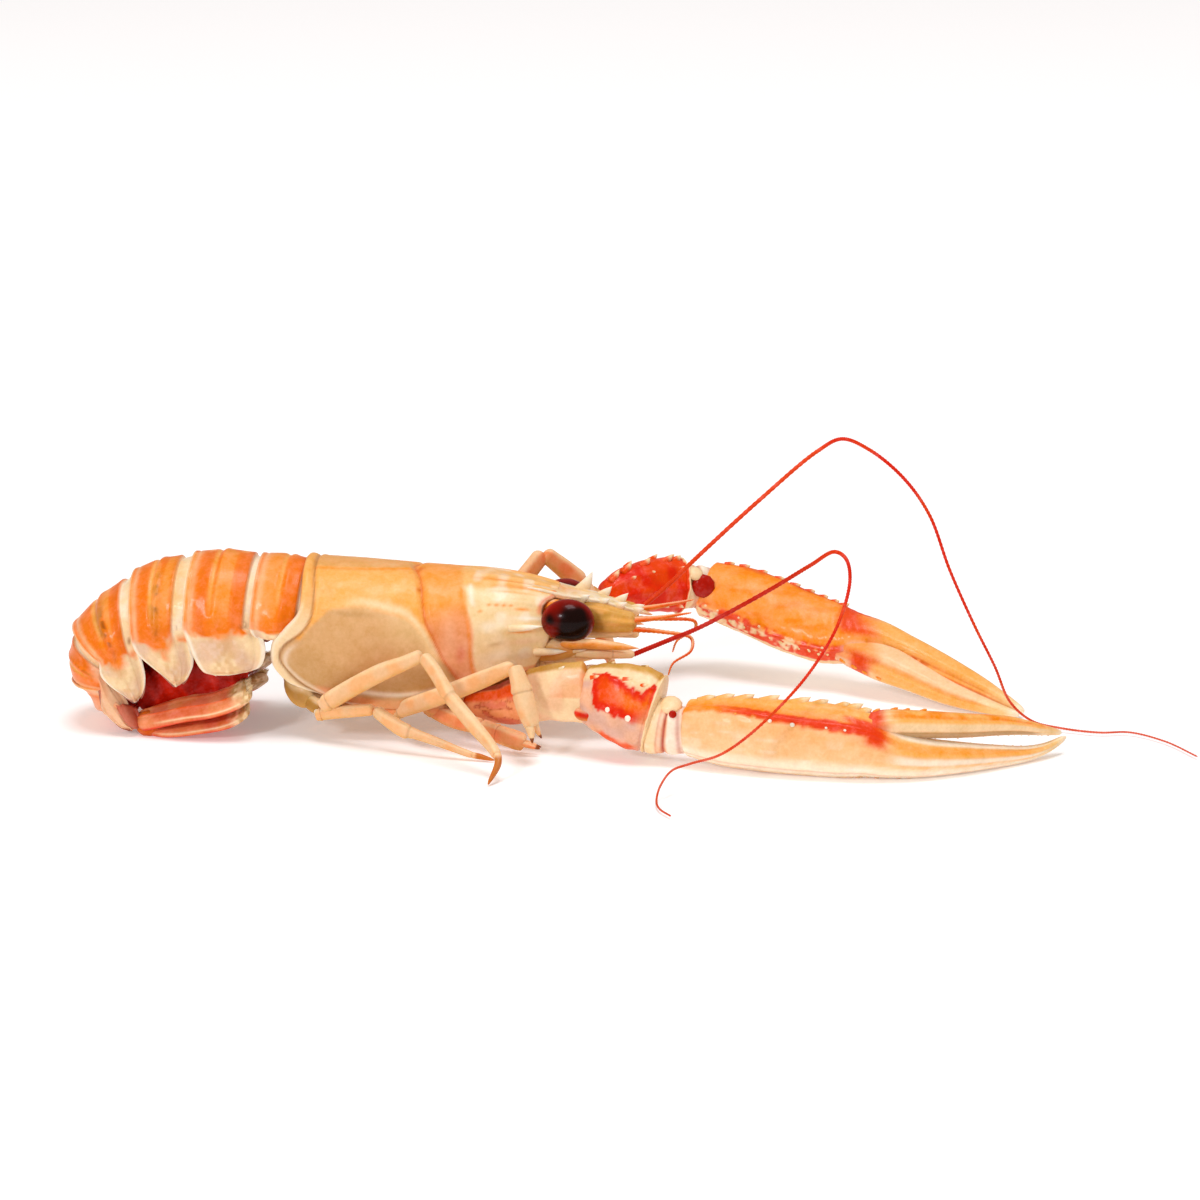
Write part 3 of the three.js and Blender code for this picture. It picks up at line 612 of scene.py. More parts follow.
def paintShell(degrees, x, spots, margin):
    c, turn = carapace, np.abs(degrees)
    wobble, fine, patch = cloud(spots, 5.0, 1) - 0.5, cloud(spots, 1.6, 2) - 0.5, cloud(spots, 8.0, 3) - 0.5
    neck, band, rim = shellGap("neck", turn, x), shellGap("bandFront", turn, x), shellGap(
        "rimLine", turn, x
    )
    behind = ramp(-neck, -0.2, 0.2)
    # The golden back with its keel line, over the grey-beige cheek.
    keel = turn - along(c["keel"], x)
    paint = coated(
        plain("amber", x),
        ("apricot", 0.5 * ramp(patch + 0.5 * fine, -0.2, 0.3)),
        ("butter", 0.3 * ramp(wobble + fine, 0.1, 0.5)),
        ("orange", 0.6 * peak(keel, 0, 2.2)),
        ("beige", 0.45 * ramp(-keel, 1, 5)),
    )
    cheek = turn - along(c["cheekTop"], x) + wobble * 4
    flank = mix(plain("beige", x), "tan", 0.85 * ramp(turn + patch * 30, 88, 120))
    flank = mix(flank, "butter", 0.4 * ramp(x + wobble * 6, 4, 13) * ramp(104 - turn, 0, 20))
    paint = coated(
        paint,
        (flank, ramp(cheek, -2.5, 3.5) * behind),
        ("cream", 0.9 * behind * peak(cheek, -4.5, 4.5) * ramp(x, -3, 8)),
        ("butter", 0.6 * behind * peak(neck, -1.5, 0.9) * ramp(turn, 66, 84)),
    )
    # In front of the neck groove: a salmon band, then the pale head.
    stripe = mix(plain("apricot", x), "salmon", ramp(turn + wobble * 30, 46, 86))
    stripe = mix(stripe, "pink", 0.45 * ramp(turn + wobble * 20, 84, 104))
    paint = mix(stripe, paint, behind)
    head = coated(
        plain("butter", x),
        ("cream", 0.5 + fine),
        ("amber", 0.85 * ramp(34 - turn + wobble * 16, -6, 8)),
        ("white", 0.75 * peak(band, 1.5, 0.5) * ramp(turn, 26, 34) * ramp(60 - turn, 0, 8)),
        ("white", 0.5 * ramp(cloud(spots, 2.6, 6), 0.55, 0.8)),
    )
    paint = mix(paint, head, ramp(band + wobble * 0.8, -0.1, 0.8))
    for angle, middle, halfAngle, halfLength, tone, strength in c["marks"]:
        paint = mix(paint, tone, strength * peak(turn, angle, halfAngle) * peak(x, middle, halfLength))
    # Lines and rims.
    front = along(c["front"], turn) - x
    lower = c["lowestAngle"] - turn
    return coated(
        paint,
        ("rust", 0.75 * peak(neck, 0.0, 0.3)),
        ("orange", 0.7 * peak(band, -0.35, 0.32) * ramp(turn, 62, 82)),
        ("redOrange", 0.6 * peak(front, 0.6, 0.45) * ramp(turn, 12, 20) * ramp(70 - turn, 0, 8)),
        ("white", 0.75 * peak(lower, 12, 2) * ramp(x, -1, 4) * ramp(34 - x, 0, 8)),
        # The salmon-beige band where the shell turns under its lower edge: partly its pink tone, partly
        # painted shade.
        (mix(plain("salmon", x), "beige", 0.4 + fine), 0.85 * ramp(9 - lower, 0, 2) * ramp(x, -8, -3)),
        (mix(plain("amber", x), "cream", ramp(turn, 40, 90)), ramp(-rim, 0, 0.5)),
        ("white", 0.5 * ramp(0.9 - margin, 0, 0.5) * ramp(turn, 55, 80) * ramp(10 - x, 0, 8)),
        ("white", 0.45 * peak(rim, 1.1, 0.5) * ramp(turn, 92, 112) * ramp(4 - x, 0, 6)),
        ("brown", 0.6 * peak(rim, 0.0, 0.26) * ramp(25 - x, 0, 12)),
    )


def buildCarapace():
    c = carapace
    bm = startPiece()

    def place(across, share):
        degrees = across * c["lowestAngle"]
        turn = np.abs(degrees)
        rear, front = along(c["rear"], turn), along(c["front"], turn)
        x = rear + (front - rear) * share
        margin = np.minimum(shellGap("rear", turn, x), (c["lowestAngle"] - turn) * c["degree"] + 0.02)
        rim = shellGap("rimLine", turn, x)
        lift = (
            0.4 * peak(margin, 0.9, 0.9) - 0.3 * peak(rim, 0, 0.4) - 0.25 * ramp(0.35 - margin, 0, 0.35)
            + 0.15 * peak(rim, 0.9, 0.6)
        )
        flat = shellSpot(degrees, x, 0)
        lift = lift - 0.3 * peak(shellGap("bandFront", turn, x), 0, 0.6) * ramp(turn, 20, 45)
        lift = lift + (0.45 * peak(turn, 24, 3.2) + 0.3 * peak(turn, 11, 2.6)) * ramp(x, 24, 36)
        lift = lift + 0.4 * peak(turn, 84, 4) * ramp(x, 29, 36) + 0.25 * peak(turn, 52, 4) * ramp(x, 27, 33)
        lift = (
            lift + 0.35 * (cloud(flat, 6.0, 11) - 0.5) * ramp(x, 22, 27)
            + 0.16 * (cloud(flat, 9.0, 12) - 0.5)
        )
        lift = lift + 0.05 * (cloud(flat, 1.1, 13) - 0.5)
        lift = lift - 0.3 * ramp(0.5 - (front - x), 0, 0.5)
        spots = shellSpot(degrees, x, lift)
        return spots, paintShell(degrees, x, spots, margin)

    addSheet(bm, 240, 150, place, c["wall"], "salmon")

    def beakForm(share, angle):
        keel = peak(np.abs(np.cos(angle)), 0.86, 0.12) * ramp(np.sin(angle), 0, 0.3)
        return 1 + 0.16 * keel - 0.14 * peak(angle, math.pi / 2, 0.5)

    def paintBeak(share, angle, spots):
        return coated(
            plain("butter", share),
            ("white", 0.5 * ramp(cloud(spots, 1.1, 7), 0.4, 0.7)),
            ("white", 0.6 * peak(np.abs(np.cos(angle)), 0.9, 0.25)),
            ("orange", 0.75 * peak(angle, math.pi / 2, 0.7) * ramp(0.62 - share, 0, 0.4)),
            ("ochre", 0.8 * ramp(-np.sin(angle), 0.0, 0.5)),
            ("salmon", ramp(share, 0.9, 1) * 0.6),
        )

    beak = limbSurface(c["beak"], form=beakForm)
    addLimb(
        bm, beak, 64, 110, paintBeak, caps=(0.04, 0.05),
        relief=lambda s, a: 0.1 * (cloud(np.stack([s * 30, a, a], 1), 1.3, 4) - 0.5),
    )
    ridge = [[s[0], s[2]] for s in c["beak"]]
    for x, half, *rises in c["teeth"]:
        foot = float(along(ridge, np.array([x]))[0])
        for (_, sign), rise in zip(sides, rises):
            size = 0.75 + 0.12 * rise
            tooth = [
                [x - 1.0, sign * (half - 0.5), foot - 0.3, 0.8 * size, 1.5 * size],
                [x + 0.4, sign * half, foot + rise * 0.4, 0.5 * size, 0.9 * size],
                [x + 1.7, sign * half, foot + rise, 0.08, 0.08],
            ]
            addSpike(bm, tooth, "cream", "white", 12, 14)
    for stations in c["spines"]:
        for side in (-1, 1):
            addSpike(bm, mirrored(stations, side), "cream", "white", 12, 16)
    finishPiece("carapaceShell", bm, "shell", "carapace")


buildCarapace()
print("carapace ready")

# The tail: six ringed segments, each a back plate that runs down into a side flap.
tail = {
    # Borders between segments: back x and z, hinge x and z, half width.
    "borders": [
        [-4.6, 34.3, -6, 23, 11.4],
        [-18.4, 35.8, -19.4, 23.5, 12.3],
        [-32.4, 35.9, -33, 23.2, 12.5],
        [-45, 32, -43.6, 20, 12.1],
        [-57.8, 20.8, -50.6, 15.4, 11.3],
        [-58.0, 8.8, -50.6, 9.2, 10.4],
        [-46.2, 0.6, -43.6, 5.2, 9.6],
    ],
    # Flap edges from the hinge down to the tip, x and z: the front edge, then the rear edge.
    "flaps": [
        ([[-6, 23], [-9, 21.8], [-13, 21]], [[-19.4, 23.5], [-18.8, 22], [-16.6, 20.9]]),
        (
            [[-19.4, 23.5], [-17.6, 21.6], [-17, 18.4], [-17.9, 15.4], [-20.6, 13.9]],
            [[-33, 23.2], [-32.1, 20.9], [-30.9, 17.6], [-29, 14.4], [-26.6, 13.3]],
        ),
        (
            [[-33, 23.2], [-32, 19.5], [-31.5, 15.8], [-32.6, 12.6], [-34.2, 10.9]],
            [[-43.6, 20], [-42.7, 18], [-39.7, 15.2], [-36.6, 12.7], [-35, 10.8]],
        ),
        (
            [[-43.6, 20], [-42.2, 16.3], [-41.4, 12.5], [-41.7, 9.6], [-42.9, 7.3]],
            [[-50.6, 15.4], [-50.2, 12.8], [-47.6, 10.2], [-45, 8.4], [-43.5, 7.2]],
        ),
        (
            [[-50.6, 15.4], [-47.6, 10.6], [-45.4, 7], [-44.4, 4], [-43.7, 1.6]],
            [[-50.6, 9.2], [-50.4, 5.6], [-48.8, 3.6], [-46.6, 1.8], [-44.3, 0.9]],
        ),
        ([[-50.6, 9.2], [-48, 4.8], [-45.6, 2.4]], [[-43.6, 5.2], [-42.6, 3.2], [-42.2, 1.5]]),
    ],
    "flapSide": [11.9, 12.7, 12.5, 12.2, 11.2, 10],
    # How much of each plate is the smooth part that slides under the one in front.
    "facet": [0.3, 0.08, 0.2, 0.17, 0.2, 0.2],
    "facetStep": [0.7, 0.7, 0.7, 0.7, 0.6, 0.15],
    "arch": [0.4, 0.5, 0.5, 0.5, 0.8, 1.9],
    "hingeShare": 0.6,
    "wall": 0.5,
    "darkStreaks": [0, 0, 0.7, 0.95, 0.5, 0.2],
}


def buildTailSegment(index):
    front, rear = np.array(tail["borders"][index], float), np.array(tail["borders"][index + 1], float)
    frontEdge, rearEdge = tail["flaps"][index]
    start, step = -0.06 if index else -0.4, tail["facet"][index]
    bm = startPiece()

    def place(across, share):
        side = np.sign(across)
        part = np.abs(across) / tail["hingeShare"]
        share = start + (1 - start) * share
        turn = np.clip(part, 0, 1) * 90
        down = np.clip((np.abs(across) - tail["hingeShare"]) / (1 - tail["hingeShare"]), 0, 1)
        border = front + (rear - front) * share[:, None]
        spoke = border[:, 0:2] - border[:, 2:4]
        length = np.linalg.norm(spoke, axis=1)
        onFacet = 1 - ramp(share, step, step + 0.045)
        lift = -tail["facetStep"][index] * onFacet * (1 - ramp(down, 0.02, 0.3))
        arch = tail["arch"][index] * np.sin(math.pi * ramp(share, step, 1.0)) + 0.18
        lift = lift + (1 - onFacet) * arch
        lift = (
            lift - 0.34 * peak(share, 0.6, 0.04) * (1 - ramp(turn, 60, 85)) + 0.16 * peak(share, 0.52, 0.05)
            - 0.16 * peak(share, 0.93, 0.018)
        )
        lift = lift + 0.5 * peak(turn + 90 * down, 82, 9) * peak(share, 0.62, 0.2)
        edge = np.minimum(1 - share, np.where(down > 0, np.minimum(share + 0.06, (1 - down) * 1.1), 1))
        lift = (
            lift + 0.2 * peak(edge, 0.055, 0.03) * ramp(turn, 60, 90)
            - 0.22 * peak(edge, 0.14, 0.05) * ramp(down, 0.05, 0.3)
        )
        angle = np.radians(turn)
        upper = border[:, 2:4] + spoke * (np.cos(angle) * (length + lift) / length)[:, None]
        lower = routeAt(frontEdge, down) * (1 - share)[:, None] + routeAt(rearEdge, down) * share[:, None]
        flat = np.where((down > 0)[:, None], lower, upper)
        bulge = (
            ramp(down, 0, 0.45) * (tail["flapSide"][index] - border[:, 4])
            + 0.45 * np.sin(math.pi * down) * np.sin(math.pi * np.clip(share, 0, 1))
        )
        out = np.sin(angle) * (border[:, 4] + lift) + bulge - 0.8 * ramp(down, 0.75, 1)
        out = out - (0.5 * ramp(0.3 - share, 0, 0.3)) * ramp(down, 0, 0.3)
        rough = np.stack([flat[:, 0], side * out, flat[:, 1]], axis=1)
        lumps = 0.12 * (cloud(rough, 2.2, 20) - 0.5) + 0.1 * (cloud(rough, 0.9, 21) - 0.5)
        out = out + lumps * np.sin(angle)
        spots = np.stack([flat[:, 0], side * out, flat[:, 1]], axis=1)
        return spots, paintTail(index, side, share, turn, down, edge, onFacet, spots)

    # The lining inside the plates is dark wine red: partly painted shade inside the curled tail.
    addSheet(bm, 230, 72, place, tail["wall"], "wine")

    # The flesh that fills the segment between its hinges, in dark wine red: its own red, partly painted
    # shade inside the curled tail.
    stations = []
    for share in (-0.05, 0.5, 1.05):
        border = front + (rear - front) * share
        spoke = border[0:2] - border[2:4]
        middle = border[2:4] + spoke * 0.2
        stations.append([middle[0], 0, middle[1], np.linalg.norm(spoke) * 0.36, border[4] - 2.4])
    flesh = limbSurface(stations, up=(0, 1, 0))
    addLimb(
        bm, flesh, 48, 20,
        lambda share, angle, spots: mix(plain("wine", share), "red", cloud(spots, 2.0, 31) * 0.5),
        caps=(0.12, 0.12), relief=lambda share, angle: 0.35 * np.sin(share * 3 * math.pi) ** 2,
    )
    finishPiece("tailSegment%d" % (index + 1), bm, "tail", "abdomen_%d" % (index + 1))


def paintTail(index, side, share, turn, down, edge, onFacet, spots):
    around = turn + 90 * down
    streak = cloud(np.stack([share * 8 + index * 3, around / 80, side + index], axis=1), 1.0, 22 + index)
    patch, fine = cloud(spots, 2.4, 40 + index), cloud(spots, 0.8, 50 + index)
    dark = tail["darkStreaks"][index]
    paint = coated(
        plain("tangerine", share),
        ("rust", 0.35 * ramp(0.45 - streak, 0, 0.3) + 0.2 * dark),
        ("amber", 0.45 * ramp(streak, 0.5, 0.75) * ramp(100 - around, 0, 40)),
        ("amber", 0.8 * peak(share, 0.62, 0.035) * ramp(80 - around, 0, 25)),
        ("cream", 0.4 * peak(share, 0.9, 0.05)),
        ("rust", 0.35 * peak(share, tail["facet"][index] + 0.06, 0.03)),
        ("brown", dark * 0.85 * peak(share, 0.5, 0.035) * peak(around, 62, 26) * ramp(fine, 0.35, 0.6)),
        ("olive", dark * 0.75 * peak(share, 0.54, 0.1) * peak(around, 52, 34) * ramp(patch, 0.4, 0.7)),
    )
    # Flaps turn cream and pink below an orange patch, with a pale rim.
    low = ramp(around + (patch - 0.5) * 26 + (fine - 0.5) * 12 - 14 * peak(share, 0.5, 0.2), 92, 108)
    flap = mix(plain("cream", share), "lilac", 0.55 * ramp(patch, 0.3, 0.8))
    flap = mix(flap, "beige", 0.6 * peak(share, 0.5, 0.3) * ramp(fine, 0.2, 0.7))
    paint = coated(
        paint,
        (flap, low),
        ("orange", 0.5 * peak(around, 106, 7) * peak(share, 0.5, 0.16) * ramp(patch, 0.3, 0.7)),
        ("white", 0.85 * ramp(0.085 - edge, 0, 0.05) * ramp(around, 80, 104)),
        ("cream", 0.6 * ramp(0.03 - (1 - share), 0, 0.02)),
    )
    if index > 3:  # the last two turn pink below, with a reddish lower edge
        paint = coated(
            paint,
            (mix(plain("pink", share), "cream", 0.4 * patch), 0.8 * ramp(around - 40 * share, 52, 78)),
            ("pink", 0.55 * (index - 4) * ramp(share, 0.1, 0.5)),
            ("coral", 0.7 * (index - 4) * ramp(share + (patch - 0.5) * 0.3, 0.6, 0.95)),
        )
    facet = mix(plain("cream", share), "white", 0.5 * ramp(patch, 0.3, 0.7))
    facet = mix(facet, "amber", 0.45 * ramp(streak, 0.5, 0.8))
    paint = mix(paint, facet, (0.3 if index == 5 else 1) * onFacet * ramp(108 - around, 0, 14))
    return mix(paint, "brown", 0.7 * peak(around, 88, 4) * peak(share, 0.08, 0.05) * ramp(fine, 0.35, 0.6))


for index in range(6):
    buildTailSegment(index)
print("tail ready")

# The tail fan, folded forwards under the tail: blades with a keel and a fringe of hairs.
fan = {
    "telson": [
        [-44.6, 0, 0.9, 4.2, 0.8], [-37, 0, 0.7, 5.2, 0.8], [-28, 0, 1.1, 5, 0.7], [-24, 0, 2, 3.6, 0.4]
    ],
    "inner": [
        [-42.6, -7.4, 1.3, 2.4, 1.1], [-37, -8.8, 1.7, 4.3, 1.1], [-31, -9.6, 2.9, 4.8, 1.1],
        [-24, -9.9, 4.6, 4.6, 1.2], [-19.6, -9.8, 8.0, 3.6, 1.0],
    ],
    "outer": [
        [-43.4, -9.6, 2.4, 2.6, 1.8], [-38, -10.2, 4.2, 3.8, 1.5], [-33.6, -10.6, 5.7, 4.6, 1.3],
        [-27, -10.9, 7.1, 4.8, 1.2], [-22.4, -10.9, 8.9, 4.6, 1.2], [-18.8, -10.8, 11.6, 3.4, 0.9],
    ],
    "roll": 0.3,  # how far the upper faces lean outwards
    "hairs": 70,
}


def buildBlade(name, stations, side, keels, base, nodeName, seed, knob=None):
    bm = startPiece()
    surface = limbSurface(stations, up=(0, side * fan["roll"], 1), square=0.8)
    end = 0.96

    def relief(share, angle):
        ribs = sum(peak(np.cos(angle), k, 0.1) for k in keels)
        return (
            0.3 * ribs * np.sign(np.sin(angle)) * ramp(0.98 - share, 0, 0.3)
            + 0.1 * np.sin(share * 150 + 9 * np.cos(angle)) * ramp(share, 0.8, 0.95)
        )

    def paint(share, angle, spots):
        patch, fine = cloud(spots, 3.0, seed), cloud(spots, 0.9, seed + 1)
        tint = coated(
            plain(base, share),
            ("coral", 0.3 + 0.6 * ramp(patch, 0.3, 0.7)),
            ("redOrange", 0.6 * sum(peak(np.cos(angle), k, 0.06) for k in keels)),
            # Red over each blade's underside, which lines the gap between the folded blades: partly painted
            # shade.
            ("red", 0.9 * ramp(-np.sin(angle), -0.1, 0.35)),
            ("cream", 0.8 * peak(np.sin(angle), 0.3, 0.12) * ramp(share, 0.1, 0.3)),
        )
        curled = ramp(share + (patch - 0.5) * 0.12, 0.72, 0.84)
        return coated(
            tint,
            (mix(plain("tan", share), "cream", ramp(fine, 0.3, 0.7)), curled),
            ("olive", 0.5 * ramp(share, 0.82, 0.9) * ramp(0.97 - share, 0, 0.05) * ramp(patch, 0.3, 0.7)),
            ("cream", 0.7 * ramp(share, 0.93, 0.96)),
        )

    addLimb(bm, surface, 96, 110, paint, caps=(0.08, 0.07), relief=relief, span=(0, end))
    random = np.random.default_rng(seed)
    for angle in np.linspace(0, math.pi, fan["hairs"]):
        wide = abs(math.cos(angle))
        share = end - 0.03 - 0.1 * wide**6 + random.uniform(-0.015, 0.01)
        root = surface(share, angle + random.uniform(-0.02, 0.02), 0.8)[0]
        flat = surface(share, random.uniform(0, math.pi), 0.1)[0]
        out = unit(root - flat)
        tip = surface(1.0, angle, 0.75)[0] + out * 0.3
        tip = root + unit(tip - root + 1e-6) * random.uniform(1.0, 1.7)
        addHair(
            bm, root, tip, 0.12, mix(tones["cream"][None], "tan", np.array([random.uniform(0, 0.8)]))[0]
        )
    if knob:
        addKnob(bm, *knob, "rust")
    finishPiece(name, bm, "fan", nodeName)


buildBlade("telsonBlade", fan["telson"], 0, (-0.55, 0.55), "salmon", "telson", 60)
for side, sign in sides:
    buildBlade(
        "tailFanInner" + side.title(), mirrored(fan["inner"], sign), sign, (0.1,), "salmon",
        "tail_fan_inner_" + side, 62,
    )
    buildBlade(
        "tailFanOuter" + side.title(), mirrored(fan["outer"], sign), sign, (-0.25, 0.3), "salmon",
        "tail_fan_outer_" + side, 64, ((-41, sign * 10.3, 2.3), (-0.2, sign, 0.1), 2.9, 1.8),
    )
print("tail fan ready")

# Swimmerets: dark red blades with a fringe, under the tail. Their dark wine red is their own red, partly
# painted shade inside the curled tail.
swimmerets = [
    [[-24, -5.4, 20.4, 1.2, 1], [-24.4, -7, 15, 4.2, 1.2], [-24.8, -7.6, 8.4, 3.2, 0.7]],
    [[-31, -5.4, 20.4, 1.2, 1], [-29.4, -7, 14, 4.6, 1.2], [-27.6, -7.6, 6.8, 3.4, 0.7]],
    [[-39.6, -5.2, 17.4, 1.2, 1], [-36.6, -6.8, 12, 4.4, 1.2], [-33.4, -7.2, 5.8, 3.2, 0.7]],
    [[-45, -5, 12.4, 1.2, 1], [-41.8, -6.6, 8.4, 3.6, 1.1], [-38.6, -7, 4, 2.6, 0.7]],
]


def buildSwimmeret(index, side, sign):
    bm = startPiece()
    surface = limbSurface(mirrored(swimmerets[index], sign), up=(0, 1, 0), square=0.85)

    def paint(share, angle, spots):
        # Dark wine red: the swimmerets' own red, partly painted shade.
        tint = mix(plain("wine", share), "red", 0.45 * ramp(cloud(spots, 2.4, 70 + index), 0.35, 0.75))
        return mix(
            tint, "red", 0.5 * peak(np.cos(angle), 0.2, 0.12) + 0.4 * ramp(np.abs(np.cos(angle)), 0.93, 1)
        )

    addLimb(
        bm, surface, 40, 44, paint, caps=(0.1, 0.1),
        relief=lambda share, angle: 0.25 * peak(np.cos(angle), 0.2, 0.15) + 0.07 * np.sin(share * 80),
    )
    random = np.random.default_rng(index)
    for angle in np.linspace(0.15, math.pi - 0.15, 24):
        share = 0.97 - 0.35 * abs(math.cos(angle)) ** 3 * random.uniform(0.4, 1)
        root = surface(share, angle, 0.9)[0]
        tip = surface(min(share + 0.12, 1), angle, 1.05)[0]
        addHair(bm, root, tip + np.array((0.2, 0, -0.2)), 0.09, "wine")
    number = index + 1
    finishPiece("swimmeret%d%s" % (number, side.title()), bm, "flesh", "swimmeret_%d_%s" % (number, side))


for index in range(4):
    for side, sign in sides:
        buildSwimmeret(index, side, sign)
print("swimmerets ready")

# Eyes: dark glossy beans on short stalks.
eye = {
    "at": {"right": (45.1, -8.6, 25.3), "left": (43.3, 7.8, 25.3)},
    "half": (5.4, 3.9, 4.5),
    "stalk": [[39.5, -2.5, 26.6, 2.6, 2.4], [42.6, -5.2, 25.8, 2.9, 2.9], [45, -7, 25.4, 3.4, 3.4]],
}


def buildEye(side, sign):
    bm = startPiece()
    at, half = np.array(eye["at"][side]), np.array(eye["half"])

    def place(alongIt, turn):
        tilt, angle = alongIt * math.pi, turn * 2 * math.pi
        ball = np.stack([-np.cos(tilt), np.sin(tilt) * np.cos(angle), np.sin(tilt) * np.sin(angle)], axis=1)
        dent = 1 - 0.09 * peak(ball[:, 0], -0.2, 0.45) * ramp(-ball[:, 2], 0.3, 1)
        spots = ball * dent[:, None] * half + at
        patch = cloud(spots, 2.2, 81)
        tint = plain(tones["dark"] * 0.35, turn)
        tint = mix(
            tint, tones["wine"] * 0.55, 0.95 * ramp(1 - np.abs(ball[:, 1]) + 0.4 * (patch - 0.5), 0.3, 0.9)
        )
        # Painted reflection: a mottled lighter red patch towards the back of the eye, over its red-brown.
        tint = mix(
            tint, tones["wine"] * 0.8,
            0.5 * ramp(-ball[:, 0] + 0.5 * (patch - 0.5), 0.25, 0.75) * ramp(patch, 0.3, 0.7),
        )
        return spots, tint

    addSkin(bm, 72, 48, place)
    finishPiece("eye" + side.title(), bm, "eye", "eye_" + side)
    bm = startPiece()
    addLimb(
        bm,
        limbSurface(mirrored(eye["stalk"], sign)),
        40,
        30,
        lambda share, angle, spots: (
            mix(plain("cream", share), "orange", ramp(cloud(spots, 1.5, 82), 0.4, 0.8))
        ),
        caps=(0.1, 0.1),
    )
    finishPiece("eyeStalk" + side.title(), bm, "limb")


for side, sign in sides:
    buildEye(side, sign)
print("eyes ready")


# Small limbs round the mouth, the short feelers and the long whips.
def limbPaint(base, mottleTone, seed, tipTone=None, tipFrom=0.9, size=2.2):
    def paint(share, angle, spots):
        tint = coated(
            plain(base, share),
            (mottleTone, 0.4 * ramp(cloud(spots, size, seed), 0.35, 0.8)),
            # Painted highlight: cream over the top side of each limb.
            ("cream", 0.6 * ramp(np.sin(angle) + 0.6 * (cloud(spots, size * 2, seed + 1) - 0.5), 0.3, 0.8)),
            # Painted shade: ochre over the underside of each limb.
            ("ochre", 0.6 * ramp(-np.sin(angle), 0.0, 0.8)),
        )
        return tint if tipTone is None else mix(tint, tipTone, ramp(share, tipFrom, tipFrom + 0.07))

    return paint


# One limb with a swelling and a fine seam at each joint.
def addArticles(bm, stations, joints, paint, flare=0.07, square=0.85, span=(0, 1)):
    def swell(share, angle):
        rises = (flare * peak(share, at - 0.035, 0.03) - 0.1 * peak(share, at, 0.012) for at in joints)
        return 1 + sum(rises)

    def paintSeams(share, angle, spots):
        seams = sum(peak(share, at, 0.008) for at in joints)
        return mix(paint(share, angle, spots), "brown", 0.3 * seams)

    addLimb(
        bm, limbSurface(stations, square=square, form=swell), 40, 110, paintSeams, span=span,
        caps=(0.05, 0.05),
    )
    return limbSurface(stations, square=square)


mouth = {
    "feelerBase": [
        [41.5, -6.4, 17.6, 1.7, 1.8], [46.6, -7.4, 18.4, 1.3, 1.1], [50.6, -8, 18.5, 1.5, 1.2],
        [54.2, -8, 18.4, 1.1, 0.95], [58.6, -7.6, 18.3, 0.9, 0.8],
    ],
    "cheekPad": [[38, -5.6, 18.2, 2, 2.6], [43, -7.2, 18.9, 2, 2.3], [47.8, -8.2, 19.4, 0.9, 1]],
    "feelerScale": [
        [43.5, -9.2, 20.6, 0.9, 1.0], [49.6, -9.7, 20.9, 1.0, 1.1], [55.6, -9.5, 20.4, 0.9, 0.8],
        [59.6, -9.2, 20, 0.2, 0.2],
    ],
    "jawLeg": [
        [33, -4.5, 10, 2, 2.2], [39, -7.6, 11, 2, 2.1], [49, -8.6, 14.4, 1.7, 1.7],
        [56.5, -8.4, 14.6, 0.9, 0.9],
    ],
    "shortBase": [
        [46.4, -2.8, 24.4, 2, 3.4], [50.8, -3.4, 24.3, 2.4, 3.4], [54.8, -3.6, 23.9, 2.2, 2.8],
        [58.8, -3.6, 23.6, 1.7, 2.1],
    ],
    "shortUpper": [[57, -3.8, 24.3, 0.75, 0.75], [63, -4.6, 25.2, 0.5, 0.5], [70, -5.2, 26.6, 0.16, 0.16]],
    "shortLower": [
        [57, -4, 22.6, 0.65, 0.65], [64, -5, 22.4, 0.45, 0.45], [70, -6.6, 21.6, 0.36, 0.36],
        [70, -8, 19.4, 0.3, 0.3], [66.4, -8.6, 16.8, 0.24, 0.24], [65.4, -8.6, 14.2, 0.16, 0.16],
    ],
}


def paintShortBase(share, angle, spots):
    lines = cloud(spots * (0.22, 1, 1), 0.75, 97)
    return coated(
        plain("olive", share),
        ("ochre", ramp(spots[:, 0] + 4 * (lines - 0.5), 49, 54)),
        ("amber", 0.5 * ramp(lines, 0.45, 0.75)),
        ("cream", 0.7 * band(angle, 262, 312, 8)),
    )


def buildMouthParts(side, sign):
    title = side.title()
    bm = startPiece()
    addArticles(
        bm, mirrored(mouth["feelerBase"], sign), (0.26, 0.75), limbPaint("cream", "pink", 91), flare=0.03
    )
    addLimb(
        bm, limbSurface(mirrored(mouth["cheekPad"], sign)), 48, 40,
        limbPaint("ochre", "salmon", 90, size=1.2), caps=(0.2, 0.2),
    )
    addSpike(bm, mirrored([[46, -8.6, 19, 0.6, 0.6], [49, -9.4, 19.6, 0.1, 0.1]], sign), "cream", "white")
    finishPiece("feelerBase" + title, bm, "limb", "feeler_base_" + side)

    bm = startPiece()
    scale = limbSurface(mirrored(mouth["feelerScale"], sign))
    addLimb(bm, scale, 40, 40, limbPaint("apricot", "rust", 92, size=1.0), caps=(0.15, 0.3))
    finishPiece("feelerScale" + title, bm, "claw", "feeler_scale_" + side)

    bm = startPiece()
    addArticles(
        bm, mirrored(mouth["jawLeg"], sign), (0.33, 0.67), limbPaint("cream", "apricot", 93, "rust")
    )
    finishPiece("jawLeg" + title, bm, "limb", "jaw_leg_" + side)

    bm = startPiece()
    addLimb(
        bm, limbSurface(mirrored(mouth["shortBase"], sign)), 60, 70, paintShortBase, caps=(0.08, 0.12),
        relief=lambda share, angle: 0.12 * np.sin(angle * 9),
    )
    for strand in ("shortUpper", "shortLower"):
        addLimb(
            bm, limbSurface(mirrored(mouth[strand], sign)), 12, 110, limbPaint("redOrange", "orange", 95),
            relief=lambda share, angle: 0.05 * np.sin(share * 220), caps=(0.02, 0.05),
        )
    finishPiece("shortFeeler" + title, bm, "feeler", "short_feeler_" + side)


